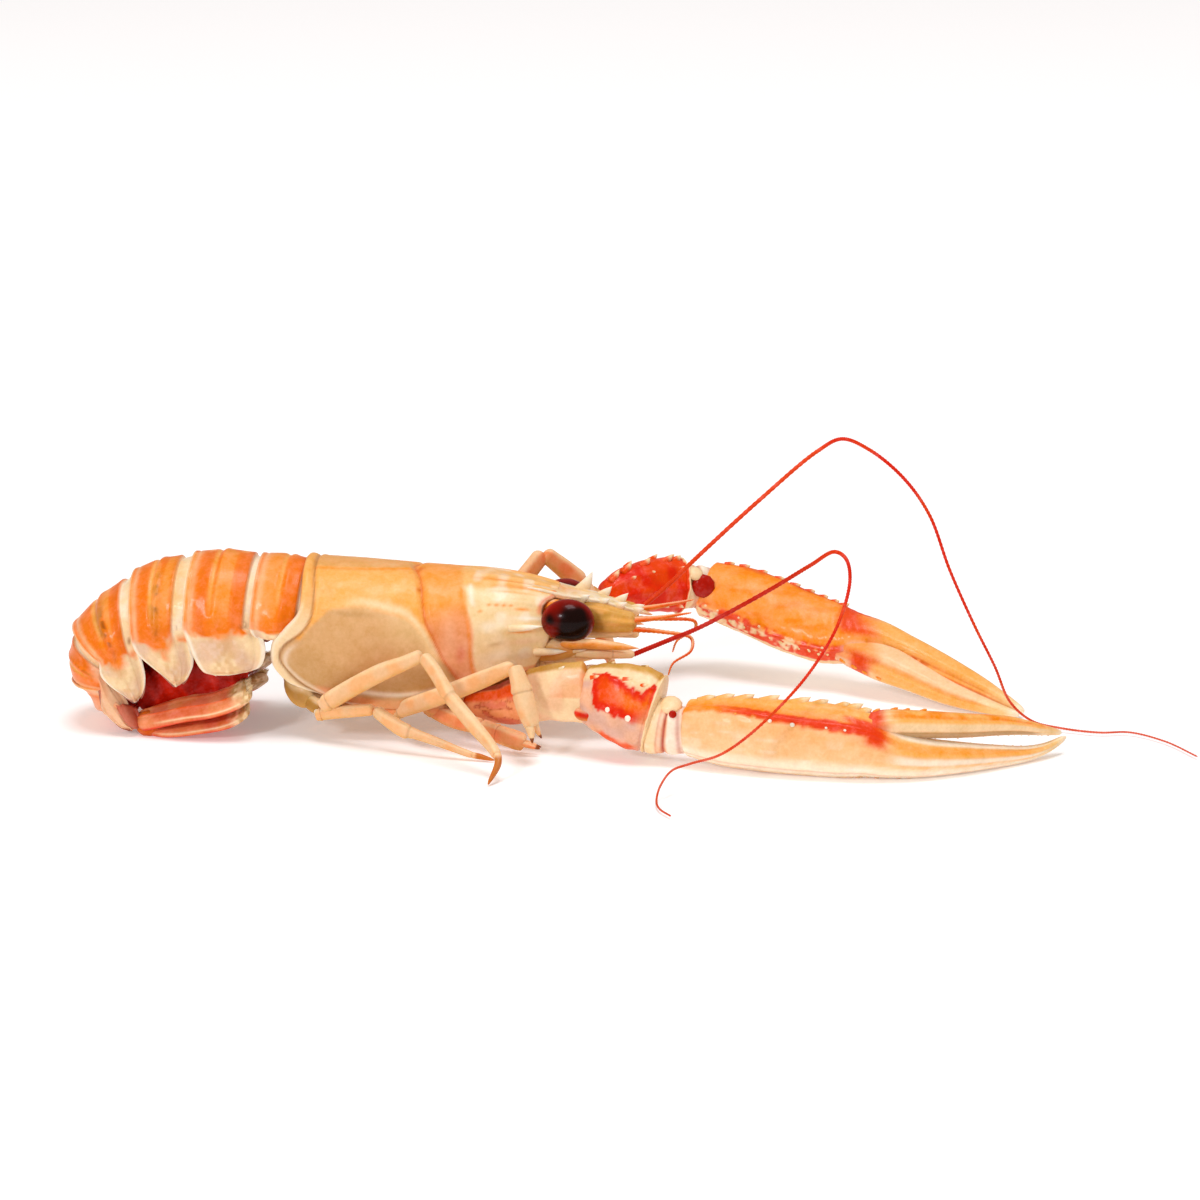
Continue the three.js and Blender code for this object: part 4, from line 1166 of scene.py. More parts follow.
whips = {
    "right": [
        [58, -7.2, 18], [65, -8.4, 21.4], [71.9, -10, 24.9], [85.9, -14, 34], [94, -17, 40],
        [98.6, -19.4, 43.4], [101, -22, 42.6], [101.8, -24.5, 39], [99.8, -28, 31.4], [95.6, -32.4, 24.4],
        [90.6, -36.4, 18.7], [82.2, -40.4, 11.2], [77, -42, 8], [71.5, -42.4, 6.3], [68, -43.6, 5.2],
        [66, -46, 3], [65.4, -50, 1.2], [66.2, -54, 0.8], [68.6, -58, 0.7],
    ],
    "left": [
        [58, 7.2, 23.2], [64, 7.6, 28.4], [71, 8, 35.4], [83, 9, 46.8], [94.8, 10, 57.1],
        [99.6, 10.8, 59.5], [105.2, 11.6, 57.2], [112.4, 12, 51.2], [117.8, 12, 43.6], [122.2, 10, 32.5],
        [127.4, 7.6, 21.6], [131.8, 5.2, 13.4], [135, 4, 6.4], [139.6, 4, 2.4], [145.4, 4, 1],
        [153.3, 2, 0.8], [159.4, 2.6, 0.8], [166, -2.6, 0.7], [172, -13, 0.7],
    ],
    "thick": 0.52,
    "thin": 0.17,
    "rings": 480,
}


def buildWhip(side):
    bm = startPiece()
    points = whips[side]
    halves = np.linspace(0, 1, len(points)) ** 0.8
    stations = [
        [*point, *[whips["thick"] + (whips["thin"] - whips["thick"]) * h] * 2]
        for point, h in zip(points, halves)
    ]

    def paint(share, angle, spots):
        start = "wine" if side == "right" else "redOrange"
        return coated(
            plain("red", share),
            ("redOrange", 0.5 * ramp(cloud(spots, 4.0, 96), 0.4, 0.8)),
            (start, 0.6 * ramp(0.3 - share, 0, 0.15)),
            ("coral", 0.7 * ramp(share, 0.45, 0.8)),
            ("wine", 0.3 * (0.5 + 0.5 * np.sin(share * whips["rings"] * math.pi))),
        )

    def place(alongIt, turn):
        fromEnd = np.minimum(alongIt, 1 - alongIt) / 0.004
        shrink = np.sqrt(np.clip(1 - np.clip(1 - fromEnd, 0, 1) ** 2, 0, 1))
        ring = 0.04 * np.cos(alongIt * whips["rings"] * math.pi)
        spots = surface(alongIt, turn * 2 * math.pi, shrink, ring)
        return spots, paint(alongIt, turn, spots)

    surface = limbSurface(stations, up=(0.2, 1, 0.1))
    addSkin(bm, 10, whips["rings"], place)
    finishPiece("feelerWhip" + side.title(), bm, "feeler", "feeler_whip_" + side)


for side, sign in sides:
    buildMouthParts(side, sign)
    buildWhip(side)
print("feelers ready")

# Walking legs: the upper limb, then the lower limb with a small pincer or a pointed toe. The lower limb
# starts where the upper one ends, so only half sizes are given for that spot.
legs = {
    "leg_2_right": [
        [[16, -7, 6.6, 1.6, 1.8], [22, -11.5, 5, 1.5, 1.8], [28, -15, 4.6, 1.3, 1.6]],
        [[1.3, 1.6], [31.5, -17, 3.8, 1.4, 1.8], [35.4, -18.6, 3, 1.5, 1.9], [40.4, -19.2, 1.6, 0.5, 0.6]],
    ],
    "leg_3_right": [
        [
            [8, -8, 5, 1.6, 1.8], [13, -12, 7.6, 1.5, 1.8], [20, -16, 11.2, 1.5, 1.85],
            [28, -18.8, 15.3, 1.4, 1.8], [35.3, -21, 19.2, 1.2, 1.4],
        ],
        [
            [1.4, 1.3], [36.3, -22.2, 16.8, 1.8, 1.3], [37.5, -23.6, 13.2, 2.3, 1.3],
            [38.6, -24.6, 9.8, 2.2, 1.2], [39.3, -25, 7.8, 1.8, 1.1], [40.2, -25.4, 5, 1.6, 0.8],
        ],
    ],
    "leg_4_right": [
        [
            [-4.8, -13, 7.4, 1.3, 1.5], [-1.6, -14.4, 10, 1.4, 1.9], [7.5, -18, 16.1, 1.4, 1.85],
            [13, -19.6, 18.9, 1.3, 1.5], [16.9, -20.6, 21, 1.1, 1.3],
        ],
        [
            [1.1, 1.3], [19.6, -23, 18.3, 1.1, 1.5], [22.9, -26.2, 14.2, 1.2, 1.4],
            [27.6, -30, 9.9, 1.1, 1.5], [32.4, -34, 5.6, 0.9, 1.1], [33.5, -36.4, 4, 0.7, 0.8],
            [31.8, -40.2, 0.4, 0.25, 0.3],
        ],
    ],
    "leg_5_right": [
        [
            [-6, -12.6, 5.6, 1.2, 1.2], [-3, -13.4, 6.4, 1.2, 1.35], [1.4, -15, 7.3, 1.15, 1.3],
            [6.4, -16.6, 8.2, 1.0, 1.15],
        ],
        [
            [1, 1.15], [9.4, -18.2, 6.6, 1.2, 1.3], [12.6, -19.6, 5.0, 1.3, 1.45],
            [15.2, -20.4, 4.4, 1.0, 1.0], [20, -21.8, 3.2, 0.8, 0.85], [26.6, -23.4, 1.3, 0.6, 0.6],
            [28.6, -23.8, 1, 0.55, 0.55], [31.6, -24.5, 0.5, 0.2, 0.22],
        ],
    ],
    "leg_2_left": [
        [[21, 7.4, 9, 1.8, 1.9], [29, 14.8, 21, 1.5, 2], [37.8, 20, 32.2, 1.3, 1.8]],
        [[1.3, 1.7], [45.4, 22.6, 24.4, 1.4, 2.2], [50.8, 20.8, 12.5, 1.3, 1.8], [53.4, 18, 3.6, 0.4, 0.5]],
    ],
    "leg_3_left": [
        [[9, 8, 6.8, 1.9, 2], [17, 16, 12.6, 1.5, 2], [26, 24, 18, 1.2, 1.7]],
        [[1.3, 1.7], [31.4, 28.8, 13, 1.4, 2.1], [35.6, 34, 7, 1.3, 1.7], [38.6, 38.4, 2.6, 0.4, 0.5]],
    ],
    "leg_4_left": [
        [[-1.4, 8.4, 8, 1.8, 1.9], [5, 15.4, 12, 1.4, 1.9], [11.6, 22, 15.6, 1.2, 1.6]],
        [[1.3, 1.5], [16, 27.4, 11.6, 1.2, 1.6], [21.6, 34.4, 3.8, 1, 1.3], [20.6, 39.6, 0.5, 0.3, 0.4]],
    ],
    "leg_5_left": [
        [[-6, 7.4, 6.6, 1.7, 1.8], [-3, 13, 7.4, 1.2, 1.4], [0, 18.6, 8.6, 1, 1.2]],
        [[1.1, 1.3], [4, 23.6, 5.2, 1.1, 1.2], [11, 30.6, 1.5, 0.8, 0.8], [14.6, 33, 0.5, 0.3, 0.4]],
    ],
}
legJoints = {
    2: (0.34,), 3: (0.34,), 4: (0.335, 0.74), 5: (0.37, 0.74)
}  # shares of a right leg's lower limb
leftJoints = (0.31, 0.72)


def buildLeg(name, upper, lower):
    number = int(name[4])
    pincer = number < 4
    title = name.replace("_", " ").title().replace(" ", "")
    base, warm = ("salmon", "redOrange") if number == 2 else ("bone", "apricot")
    tip = "brown" if pincer else (tones["olive"] + tones["rust"]) / 2
    bm = startPiece()
    addArticles(bm, upper, (0.16,), limbPaint(base, warm, 100 + number), square=0.7)
    finishPiece("upper" + title, bm, "limb", name + "_upper")
    bm = startPiece()
    lower = [[*upper[-1][:3], *lower[0]], *lower[1:]]
    paint = limbPaint(base, warm, 104 + number, tip, 0.84 if pincer else 0.76)
    joints = legJoints[number] if name.endswith("right") else leftJoints
    if pincer:
        surface = addArticles(bm, lower, joints[:1], paint, square=0.7, span=(0, 0.8))
        half = np.linalg.norm(surface(0.75, 0, 1)[0] - surface(0.75, 0, 0)[0])
        for way, thick in ((0, 0.55 * half), (math.pi, 0.45 * half)):
            knuckle, middle, end = (
                surface(share, way, out)[0] for share, out in ((0.7, 0.45), (0.88, 0.75), (1, 1.2))
            )
            finger = [[*knuckle, thick, thick], [*middle, thick * 0.7, thick * 0.7], [*end, 0.16, 0.16]]
            addLimb(
                bm, limbSurface(finger), 24, 30, limbPaint(base, warm, 108 + number, tip, 0.7),
                caps=(0.15, 0.12),
            )
    else:
        addArticles(bm, lower, joints, paint, square=0.7)
    finishPiece("lower" + title, bm, "limb", name + "_lower")


for name, (upper, lower) in legs.items():
    buildLeg(name, upper, lower)
print("legs ready")

# The belly between the legs, with a fold where each leg leaves it.
underside = {
    "belly": [
        [-14.4, 0, 10.6, 5.6, 2.6], [-7, 0, 8.7, 7.6, 3.5], [6, 0, 8.1, 8.2, 3.9], [20, 0, 8.5, 7.8, 3.7],
        [33, 0, 10.8, 5.8, 2.9], [39, 0, 12.4, 4, 2],
    ],
    "folds": [
        [[-13, 6.6, 11.4, 1.2, 1.6], [-10, 9.6, 9.4, 1.7, 2.7], [-6.4, 11.4, 7.8, 1.2, 1.9]],
        [[-9.6, 8, 9.4, 1.2, 1.4], [-6.6, 11.4, 7.6, 1.4, 1.8], [-3.2, 12.8, 6.6, 0.8, 0.9]],
        [[-3, 7, 8.6, 1.4, 1.6], [0.4, 10, 7, 1.6, 2], [4.4, 12, 6, 0.9, 1.1]],
        [[5, 6.4, 7.6, 1.4, 1.6], [8.4, 9.4, 6.4, 1.6, 2], [12.4, 11.4, 6.4, 0.9, 1.1]],
        [[14, 5.6, 7.6, 1.4, 1.6], [17.4, 8.6, 6.6, 1.6, 2], [21.4, 10.8, 6, 0.9, 1.1]],
    ],
    "darkFolds": 2,
}


def buildUnderside():
    bm = startPiece()
    addLimb(
        bm, limbSurface(underside["belly"]), 72, 120, limbPaint("beige", "olive", 110), caps=(0.08, 0.08),
        relief=lambda share, angle: -0.5 + 0.5 * np.sin(share * 34) ** 2 * np.abs(np.cos(angle)),
    )
    for number, stations in enumerate(underside["folds"]):
        tone = "olive" if number < underside["darkFolds"] else "salmon"
        for _, sign in sides:
            addLimb(
                bm, limbSurface(mirrored(stations, sign)), 40, 30, limbPaint(tone, "ochre", 114 + number),
                caps=(0.3, 0.3),
            )
    for _, sign in sides:
        addKnob(bm, (-5.6, sign * 13, 6.3), (0.1, sign, 0.1), 0.8, 0.6, "white")
    finishPiece("underside", bm, "limb", "underside")


buildUnderside()
print("underside ready")

# Claws: arm, wrist, hand with its fixed finger, and the hinged finger, whose side lies at 90 degrees.
claws = {
    "right": {
        "arm": [
            [24, -7.6, 7, 2.6, 2.8], [33, -12.2, 8.6, 2.8, 4.2], [41, -15.2, 11.8, 3, 5.6],
            [50.6, -17.4, 12.9, 3, 6.5],
        ],
        "wrist": [
            [48.2, -17, 12.6, 2.8, 5.4], [53.5, -18.2, 12, 4.6, 7.4], [60, -19.8, 10.6, 5.5, 8.6],
            [65, -21, 9.3, 5, 7.5], [70, -22.6, 8, 4, 5.6],
        ],
        "ring": [
            [62.6, -20.8, 7.6, 4, 5.8], [65, -21.6, 7.2, 3.8, 5.2], [67, -22.2, 7, 3.7, 4.9],
            [70.4, -22.9, 7.2, 3.4, 4.6],
        ],
        # From the wrist to the tip of the fixed finger.
        "hand": [
            [69, -22.6, 7.7, 3.7, 5.2], [78, -25, 7.6, 4.5, 6.7], [90, -27.4, 7.5, 4.8, 7.1],
            [100, -28.5, 7.2, 4.9, 7], [105, -28.7, 6.6, 4.9, 6.3], [110, -28.5, 5.1, 4.6, 5],
            [116, -27.5, 4, 4, 4], [124, -24.6, 3.2, 3.2, 3.1], [131, -20.8, 2.4, 2.4, 2.3],
            [138, -16.4, 1.8, 1.6, 1.5], [142, -13.6, 2.3, 1.1, 1], [145.8, -10.4, 3.6, 0.5, 0.5],
        ],
        "hinged": [
            [103, -28.4, 9.4, 2.4, 2.2], [109, -28, 10.7, 2.9, 2.9], [115, -26.8, 10.5, 2.8, 2.8],
            [124, -23.6, 9.5, 2.4, 2.5], [134, -18.2, 8, 1.8, 1.9], [140, -14.4, 6.2, 1.2, 1.2],
            [144.8, -10.8, 4.5, 0.5, 0.5],
        ],
        "up": (0, 0.1, 1),
        "joint": 104,
        # Rows: degrees, spacing, start and end, width, height, lean, tones of base and tip, seed.
        "handRows": [
            (93, 3.4, 72, 105, 1.25, 1.3, 2.0, "amber", "cream", 130),
            ((31, 25), 4.2, 84, 102, 0.5, 0.4, 0, None, "white", 131),
            ((50, 32), 3.2, 73, 86, 0.34, 0.25, 0, None, "apricot", 132),
            (150, 4.2, 73, 100, 0.4, 0.35, 0, None, "white", 133),
            (270, 2.2, 72, 122, 0.55, 0.5, 0.9, "salmon", "cream", 134),
            (86, 2.2, 116, 140, 0.24, 0.22, 0, None, "cream", 136),
        ],
        "wristRidges": (-8, 43, -34),
        "wristRows": [
            (43, 3.6, 0.1, 0.64, 0.6, 0.8, 1.0, "redOrange", "cream", 142),
            (-8, 4.0, 0.26, 0.56, 0.75, 0.6, 0, None, "white", 143),
            (-34, 3.4, 0.3, 0.64, 0.5, 0.45, 0, None, "white", 144),
            (90, 4.4, 0.1, 0.64, 0.5, 0.6, 0.6, "olive", "cream", 145),
        ],
        "knobs": [
            ((66.7, -22.6, 12.2), (0, -0.5, 0.9), 2.4, 1.2, "cream"),
            ((67.2, -25, 11), (0.1, -1, 0.2), 0.8, 0.5, "wine"),
        ],
        "lobes": [
            [[47.2, -19.4, 9.4, 0.9, 1.2], [49.6, -20.2, 9.1, 1.2, 1.35], [52.6, -20.4, 9.6, 1, 0.9]]
        ],
    },
    "left": {
        "arm": [[27, 7.6, 8, 2.6, 2.8], [38, 18, 13.6, 2.7, 3.6], [49.4, 30.6, 19.4, 3, 4.2]],
        "wrist": [
            [49, 30.4, 19.2, 2.8, 3], [55, 36, 20.4, 4.4, 5], [62, 41.6, 20, 5, 5.9],
            [66.4, 44.2, 19, 4.8, 5.9], [70.8, 46.2, 17.8, 4.2, 5.4],
        ],
        "ring": [
            [65, 43.6, 19.4, 3.6, 4.8], [67, 44.4, 19, 3.5, 4.7], [69, 45.4, 18.6, 3.4, 4.7],
            [72, 46, 18, 3.2, 4.6],
        ],
        "hand": [
            [70, 46.6, 18.4, 3.7, 6.2], [79, 43.6, 16.8, 4.4, 7.2], [90, 39, 13.5, 4.8, 7.3],
            [98, 35.9, 11.6, 4.8, 6.8], [103, 34, 11.2, 4.6, 5.4], [108, 32.6, 10.8, 4.2, 4.3],
            [114, 30.2, 9.2, 3.5, 3.5], [121, 26.4, 7.1, 2.8, 3], [129, 20.8, 4.7, 2, 2.2],
            [134.4, 16.6, 2.9, 1.3, 1.4], [138.4, 13.2, 1.5, 0.6, 0.7],
        ],
        "hinged": [
            [98.6, 33, 9.8, 1.8, 2.4], [103, 30.8, 9, 2.8, 3.7], [109, 27.6, 7.6, 3.1, 4.2],
            [116, 23.8, 5.4, 2.7, 3.3], [122.5, 20.2, 3.4, 2.2, 2.6], [130, 16, 2, 1.5, 1.7],
            [137.4, 12.2, 1.1, 0.5, 0.6],
        ],
        "up": (-0.35, -0.7, -0.62),
        "joint": 101,
        "handRows": [
            (100, 2.3, 72, 100, 0.5, 0.4, 0, None, "butter", 130),
            (116, 3.7, 71, 100, 0.5, 0.4, 0, None, "cream", 131),
            (109, 3.1, 73, 99, 0.4, 0.4, 0, None, "cream", 132),
            (242, 3.4, 72, 100, 0.8, 0.7, 1.0, "redOrange", "cream", 134),
            (270, 2.6, 72, 112, 0.6, 0.6, 0.9, "redOrange", "orange", 135),
            (86, 2.2, 112, 134, 0.24, 0.22, 0, None, "cream", 136),
        ],
        "wristRidges": (160, 118, 198),
        "wristRows": [
            (118, 3.6, 0.1, 0.64, 0.6, 0.8, 1.0, "redOrange", "cream", 142),
            (232, 3.4, 0.06, 0.64, 0.9, 1.5, 1.4, "redOrange", "cream", 145),
            (258, 3.6, 0.2, 0.64, 0.7, 1.0, 1.2, "redOrange", "cream", 143),
            (200, 4.6, 0.1, 0.64, 0.6, 0.7, 1.0, "redOrange", "cream", 144),
        ],
        "knobs": [
            ((70.4, 41, 20), (0.2, -1, 0.15), 2.6, 0.9, "wine"),
            ((68.6, 41.6, 22.6), (0.2, -0.6, 0.8), 1.8, 0.8, "cream"),
        ],
        "lobes": [],
    },
    "ridge": 30,
    "leftRidge": 114,
    "ridgeRise": 20,  # how many degrees higher the ridge lies at the wrist
    "fingerRows": [
        (274, 2.1, 0.35, 0.93, 0.2, 0.2, 0, None, "cream", 137),
        (96, 2.8, 0.1, 0.4, 0.5, 0.4, 0.8, "orange", "apricot", 138),
    ],
    "saddleTop": [
        [48, 40], [51, 47], [53.4, 50], [56, 41], [58, 36], [60.8, 31], [62.6, 44], [64.4, 54], [66, 40]
    ],
    "wristEnd": 0.7,
}


def shareAt(stations, x):  # how far along a limb that x is
    return np.interp(x, [station[0] for station in stations], np.linspace(0, 1, len(stations)))


def xAt(stations, share):
    return np.interp(share, np.linspace(0, 1, len(stations)), [station[0] for station in stations])


def ridgeRise(x):
    return claws["ridgeRise"] * (1 - ramp(x, 74, 97))


# Thorns that lean forward or, with no lean, round knobs, along one line of a limb.
def addRow(bm, surface, degrees, spacing, start, end, wide, tall, lean, base, tip, seed):
    length = np.linalg.norm(surface(end, 0, 0)[0] - surface(start, 0, 0)[0])
    random = np.random.default_rng(seed)
    count = max(2, int(length / spacing))
    for k in range(count):
        share = start + (end - start) * (k + 0.5 + random.uniform(-0.2, 0.2)) / count
        turn = np.interp(share, (start, end), degrees) if isinstance(degrees, tuple) else degrees
        root = surface(share, math.radians(turn + random.uniform(-2.5, 2.5)), 0.98)[0]
        out = unit(root - surface(share, 0, 0)[0])
        size = random.uniform(0.75, 1.15)
        if not lean:
            addKnob(bm, root, out, wide * size, tall * size, tip)
            continue
        ahead = unit(surface(min(share + 0.02, 1), 0, 0)[0] - surface(share - 0.02, 0, 0)[0])
        reach = (out * tall + ahead * lean) * size
        path = (root - ahead * 1.5 * wide - out * 0.6 * wide, root + 0.3 * reach, root + reach)
        addSpike(
            bm, [[*spot, half, half] for spot, half in zip(path, (wide * size, wide * 0.75, 0.07))], base,
            tip, 10, 12,
        )


def paintClaw(side, hinged):
    right = side == "right"
    joint = claws[side]["joint"]

    def paint(share, angle, spots):
        x = spots[:, 0]
        patch, fine = cloud(spots, 3.2, 120), cloud(spots, 0.9, 121)
        long = cloud(spots * (0.25, 0.6, 1), 0.8, 122)
        turned = angle if right else math.pi - angle
        finger = np.ones(len(x)) if hinged else ramp(x, joint + 2, joint + 10)
        nearJoint = (
            ramp(x + (patch - 0.5) * 6, joint - 3, joint + 1)
            * (1 - ramp(x + (patch - 0.5) * 8, joint + 3, joint + 8))
        )
        tint = coated(
            plain("cream", share),
            ("apricot", 0.16 * ramp(patch, 0.2, 0.8)),
            ("apricot", 0.35 * band(turned, -30, 20, 16)),
            ("white", 0.7 * band(turned, 285, 330, 12) + 0.25 * ramp(long, 0.55, 0.8)),
            ("coral", 0.35 * band(turned, 301, 306, 3) + 0.35 * band(turned, 262, 278, 5)),
            ("pink", 0.5 * band(turned, 120, 250, 12)),
        )
        if right:
            ridge = claws["ridge"]
            turned = turned - np.radians(ridgeRise(x))
            palm = 1 - finger
            streaks = band(turned, 60, 104, 10) * ramp(long, 0.3, 0.7)
            tint = coated(
                tint,
                ("apricot", 0.5 * palm * band(turned, 0, ridge, 12)),
                ("amber", palm * band(turned, ridge - 2, 104, 4, (patch - 0.5) * 8)),
                ("orange", palm * (0.75 * band(turned, ridge, 58, 10) + 0.25 * streaks)),
                ("cream", 0.4 * palm * band(turned, 84, 112, 5) * ramp(fine, 0.3, 0.6)),
            )
            line = palm * band(turned, ridge - 9, ridge + 11, 4, (fine - 0.5) * 8)
            tint = coated(
                tint,
                ("orange", line),
                ("flame", line * ramp(x + (patch - 0.5) * 10, 74, 84)),
                ("flame", 0.95 * nearJoint * band(turned, *(-60, 128, 14) if hinged else (8, 60, 8))),
            )
        else:
            tint = mix(tint, "orange", (1 - 0.4 * finger) * band(turned, -80, 66, 8, (patch - 0.5) * 10))
            tint = mix(tint, "apricot", 0.7 * band(turned, -30, 50, 14) * ramp(long, 0.2, 0.6))
            edge = band(turned, -118, -50, 8, (patch - 0.5) * 26) * (0.4 + 0.6 * ramp(x, 76, 92))
            tint = mix(tint, "flame", 0.95 * edge * (1 - ramp(x, joint + 6, joint + 12)))
            blotch = band(turned, 54, 98, 5) * ramp(fine + patch, 0.75, 1.0) * (1 - finger)
            tint = coated(
                tint,
                ("flame", 0.95 * blotch),
                ("cream", (1 - finger) * band(turned, 112, 170, 8)),
                ("flame", 0.9 * nearJoint * band(turned, *(20, 120, 16) if hinged else (-100, 20, 14))),
            )
            if not hinged:  # the pale torn skin at the joint
                skin = peak(x + (fine - 0.5) * 3, joint + 2.6, 2.2) * band(turned, 46, 130, 14)
                tint = mix(tint, "white", 0.95 * skin)
                tint = mix(tint, "coral", 0.5 * skin * ramp(fine, 0.5, 0.8))
        far = finger * ramp(x, joint + 4, joint + 9)
        if hinged and right:
            tint = coated(
                tint,
                ("amber", far * band(turned, 8, 150, 8)),
                ("orange", 0.8 * far * band(turned, 34, 100, 12) * ramp(long, 0.3, 0.6)),
                # The cream strip between the amber top and the olive lower edge: the finger's pale tone,
                # partly a painted highlight.
                ("cream", 0.8 * far * band(turned, -22, 12, 8)),
                ("olive", 0.75 * far * band(turned, 300, 338, 7) * (1 - ramp(share, 0.75, 0.9))),
            )
        elif hinged:
            tint = coated(
                tint,
                ("amber", far * band(turned, 30, 100, 10)),
                ("orange", 0.8 * far * band(turned, -100, -56, 8)),
                ("cream", 0.8 * far * band(turned, -60, 20, 10)),
            )
        elif right:
            tint = coated(
                tint,
                ("amber", far * band(turned, 6, 48, 5)),
                ("apricot", 0.9 * far * band(turned, 16, 40, 6) * (1 - ramp(x, 132, 140))),
                # The upper white line, above the amber band, is a painted highlight; the lower one is the
                # finger's pale colour.
                ("white", 0.8 * far * (band(turned, 52, 76, 5) + band(turned, -12, 2, 4))),
            )
        else:
            edge = band(turned, 30, 64, 7) * ramp(fine, 0.35, 0.6) * (1 - ramp(x, 116, 122))
            tint = coated(
                tint,
                ("amber", far * band(turned, -60, 60, 14)),
                ("ochre", 0.7 * far * band(turned, -110, -50, 10)),
                ("rust", 0.8 * finger * edge),
            )
        tint = mix(tint, "butter", 0.7 * ramp(share, 0.8, 0.93))
        return mix(tint, "white", 0.6 * ramp(share, 0.93, 0.99))

    return paint


def handRelief(side):
    right, stations = side == "right", claws[side]["hand"]
    joint = claws[side]["joint"]

    def relief(share, angle):
        x = xAt(stations, share)
        finger = ramp(x, joint, joint + 10)
        rise = ridgeRise(x) if right else 0
        ridge = claws["ridge"] + rise if right else claws["leftRidge"]
        lines = 0.42 * lineAt(angle, ridge, 6) + 0.35 * lineAt(angle, 180 - ridge, 8)
        edges = 0.35 * lineAt(angle, 90, 10) + 0.3 * lineAt(angle, 270, 10)
        hollow = -0.32 * band(angle, 42 + rise, 78, 10) * right - 0.15 * lineAt(angle, 304, 5)
        palm = (
            lines + edges + hollow + 0.05 * np.sin(share * 130 + angle * 3) * np.sin(angle * 9 + share * 60)
        )
        return palm * (1 - finger) + fingerRelief(share, angle) * finger

    return relief


def fingerRelief(share, angle):
    ridges = 0.28 * (lineAt(angle, 8, 13) + lineAt(angle, 172, 13))
    furrow = 0.3 * (lineAt(angle, 40, 9) + lineAt(angle, 140, 9) + 0.7 * lineAt(angle, 328, 9))
    return (ridges - furrow) * ramp(0.96 - share, 0, 0.25)


def buildHand(side):
    claw = claws[side]
    bm = startPiece()
    hand = limbSurface(claw["hand"], up=claw["up"], square=0.86)
    addLimb(bm, hand, 120, 260, paintClaw(side, False), caps=(0.016, 0.03), relief=handRelief(side))

    for degrees, spacing, start, end, *rest in claw["handRows"]:
        start, end = shareAt(claw["hand"], start), shareAt(claw["hand"], end)
        addRow(bm, hand, degrees, spacing, start, end, *rest)
    finishPiece("clawHand" + side.title(), bm, "claw", "claw_hand_" + side)

    bm = startPiece()
    hinged = limbSurface(claw["hinged"], up=claw["up"], square=0.9)
    addLimb(bm, hinged, 90, 150, paintClaw(side, True), caps=(0.05, 0.03), relief=fingerRelief)
    for row in claws["fingerRows"]:
        addRow(bm, hinged, *row)
    finishPiece("clawFinger" + side.title(), bm, "claw", "claw_finger_" + side)


def paintWrist(side):
    right = side == "right"
    end = claws["wristEnd"]

    def paint(share, angle, spots):
        patch, fine = cloud(spots, 2.4, 140), cloud(spots, 0.8, 141)
        turned = angle if right else math.pi - angle
        rough = (fine - 0.5) * 16
        place, x = share / end, spots[:, 0]
        tint = mix(plain("pink", share), "lilac", 0.7 * ramp(patch, 0.3, 0.8))
        if right:
            tint = coated(
                tint,
                ("cream", band(turned, 34, 150, 6)),
                ("ochre", 0.95 * band(turned, 66, 125, 6, rough * 0.4)),
                ("olive", 0.5 * band(turned, 70, 125, 8, rough * 0.5) * ramp(60 - x, 0, 8)),
            )
            top = along(claws["saddleTop"], x) + rough * 0.5
            degrees = (np.degrees(turned) + 180) % 360 - 180
            # Shell widths from the saddle's edge.
            inside = np.minimum(top - degrees, degrees + 10 + rough * 0.4) / 9
            inside = np.minimum(inside, np.minimum(x - 51 + (fine - 0.5), 64.2 - x + (fine - 0.5)))
            fade = 1 - ramp(x - 0.12 * degrees, 59, 64) * ramp(26 - degrees, 0, 20)
            tint = coated(
                tint,
                ("red", ramp(inside, -0.15, 0.15) * fade),
                ("redOrange", ramp(inside, 0.7, 1.5) * (0.4 + 0.6 * patch) * fade),
                ("apricot", 0.35 * ramp(inside, 1.2, 2.2) * ramp(x, 53, 58) * fade),
                ("salmon", 0.6 * ramp(inside, -0.1, 0.3) * (1 - fade)),
                (
                    "redOrange",
                    0.9 * band(turned, -88, -50, 6, rough * 0.5) * ramp(x, 51, 53) * ramp(61 - x, 0, 3),
                ),
                ("lilac", 0.3 * band(turned, -50, -14, 6)),
            )
        else:
            tint = coated(
                tint,
                ("red", band(turned, -120, 100, 8, rough)),
                ("redOrange", 0.6 * band(turned, -120, 100, 8) * ramp(patch, 0.3, 0.7)),
                ("cream", 0.8 * band(turned, -128, -96, 8, rough) * ramp(place, 0.3, 0.5)),
            )
        return mix(tint, "cream", ramp(place + (fine - 0.5) * 0.03, 0.93, 0.95))

    return paint


def paintWristRing(share, angle, spots):
    return coated(
        plain("cream", share),
        ("pink", ramp(share, 0.3, 0.4)),
        ("white", 0.8 * ramp(share, 0.62, 0.68) + 0.3 * ramp(cloud(spots, 1.2, 146), 0.4, 0.7)),
        (
            "wine",
            0.8 * peak(share, 0.56, 0.045) + 0.5 * peak(share, 0.86, 0.05) + 0.25 * peak(share, 0.36, 0.03),
        ),
    )


def ringRelief(share, angle):
    return 0.3 * peak(share, 0.22, 0.12) - 0.4 * peak(share, 0.56, 0.05) + 0.15 * peak(share, 0.72, 0.06)


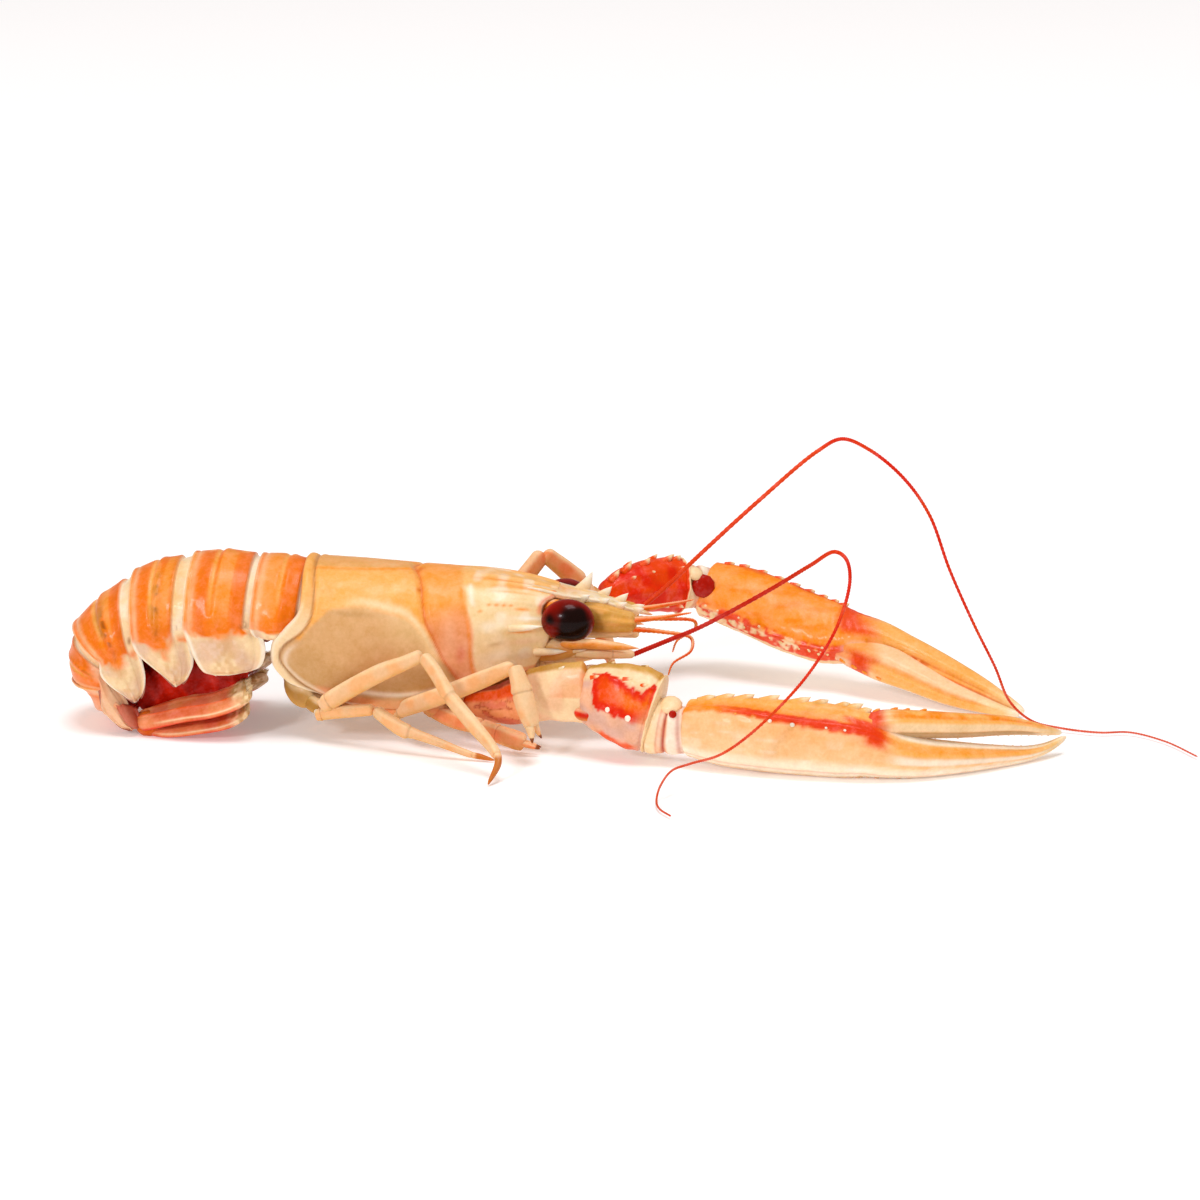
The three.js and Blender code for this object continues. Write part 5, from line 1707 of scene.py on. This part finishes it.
def buildWrist(side):
    claw, end = claws[side], claws["wristEnd"]
    bm = startPiece()
    wrist = limbSurface(claw["wrist"], up=claw["up"], square=0.92)
    ring = limbSurface(claw["ring"], up=claw["up"], square=0.8)

    def relief(share, angle):
        ridges = sum(0.3 * lineAt(angle, row, 8) for row in claw["wristRidges"])
        rim = 0.25 * peak(share, end - 0.025, 0.018) - 0.3 * peak(share, end - 0.06, 0.012)
        return ridges + rim + 0.08 * np.sin(share * 40 + angle * 4)

    addLimb(bm, wrist, 100, 110, paintWrist(side), span=(0, end), caps=(0.12, 0.04), relief=relief)
    addLimb(bm, ring, 60, 70, paintWristRing, caps=(0.1, 0.1), relief=ringRelief)
    for knob in claw["knobs"]:
        addKnob(bm, *knob)
    for stations in claw["lobes"]:
        addLimb(bm, limbSurface(stations), 32, 24, limbPaint("red", "wine", 147), caps=(0.3, 0.3))
    for row in claw["wristRows"]:
        addRow(bm, wrist, *row)
    finishPiece("clawWrist" + side.title(), bm, "wrist", "claw_wrist_" + side)


def paintArm(share, angle, spots):
    patch, fine, x = cloud(spots, 3.0, 150), cloud(spots, 0.9, 151), spots[:, 0]
    lines = cloud(spots * (0.15, 1, 1), 0.9, 153)
    tint = coated(
        plain("cream", share),
        ("pink", 0.5 * ramp(patch, 0.4, 0.7)),
        ("salmon", 0.6 * ramp(x - 0.1 * np.degrees(angle % 6.28), 41, 45) * band(angle, -20, 52, 8)),
        ("ochre", 0.95 * band(angle, 62, 130, 7)),
        ("olive", 0.8 * band(angle, 62, 130, 7) * ramp(48 - x, 0, 8)),
    )
    base = ramp(38 - x + (fine - 0.5) * 3, 0, 3)
    return coated(
        tint,
        (mix(plain("salmon", share), "coral", ramp(lines, 0.45, 0.7)), 0.9 * base),
        ("redOrange", 0.9 * base * band(angle, 22, 60, 8)),
        # Painted shadow: dark wine over the top of the arm's base, where it lies in the gap under the body.
        (tones["wine"] * 0.5, 0.9 * base * band(angle, 60, 112, 8)),
        ("wine", 0.7 * base * peak(lines, 0.5, 0.05) * band(angle, -60, 20, 10)),
        ("rust", 0.4 * peak(share, 0.97, 0.015)),
    )


def buildArm(side):
    bm = startPiece()
    arm = limbSurface(claws[side]["arm"])
    addLimb(
        bm,
        arm,
        80,
        110,
        paintArm,
        caps=(0.08, 0.06),
        relief=lambda share, angle: (
            0.25 * lineAt(angle, 90, 12) + 0.08 * np.sin(share * 30 + angle * 2)
            - 0.3 * peak(share, 0.5, 0.012)
        ),
    )
    addRow(bm, arm, 66, 4.2, 0.5, 0.92, 0.4, 0.5, 0.6, "cream", "white", 152)
    finishPiece("clawArm" + side.title(), bm, "claw", "claw_arm_" + side)


for side in ("right", "left"):
    buildHand(side)
    buildWrist(side)
    buildArm(side)
print("claws ready")

bpy.data.meshes.remove(scratch)
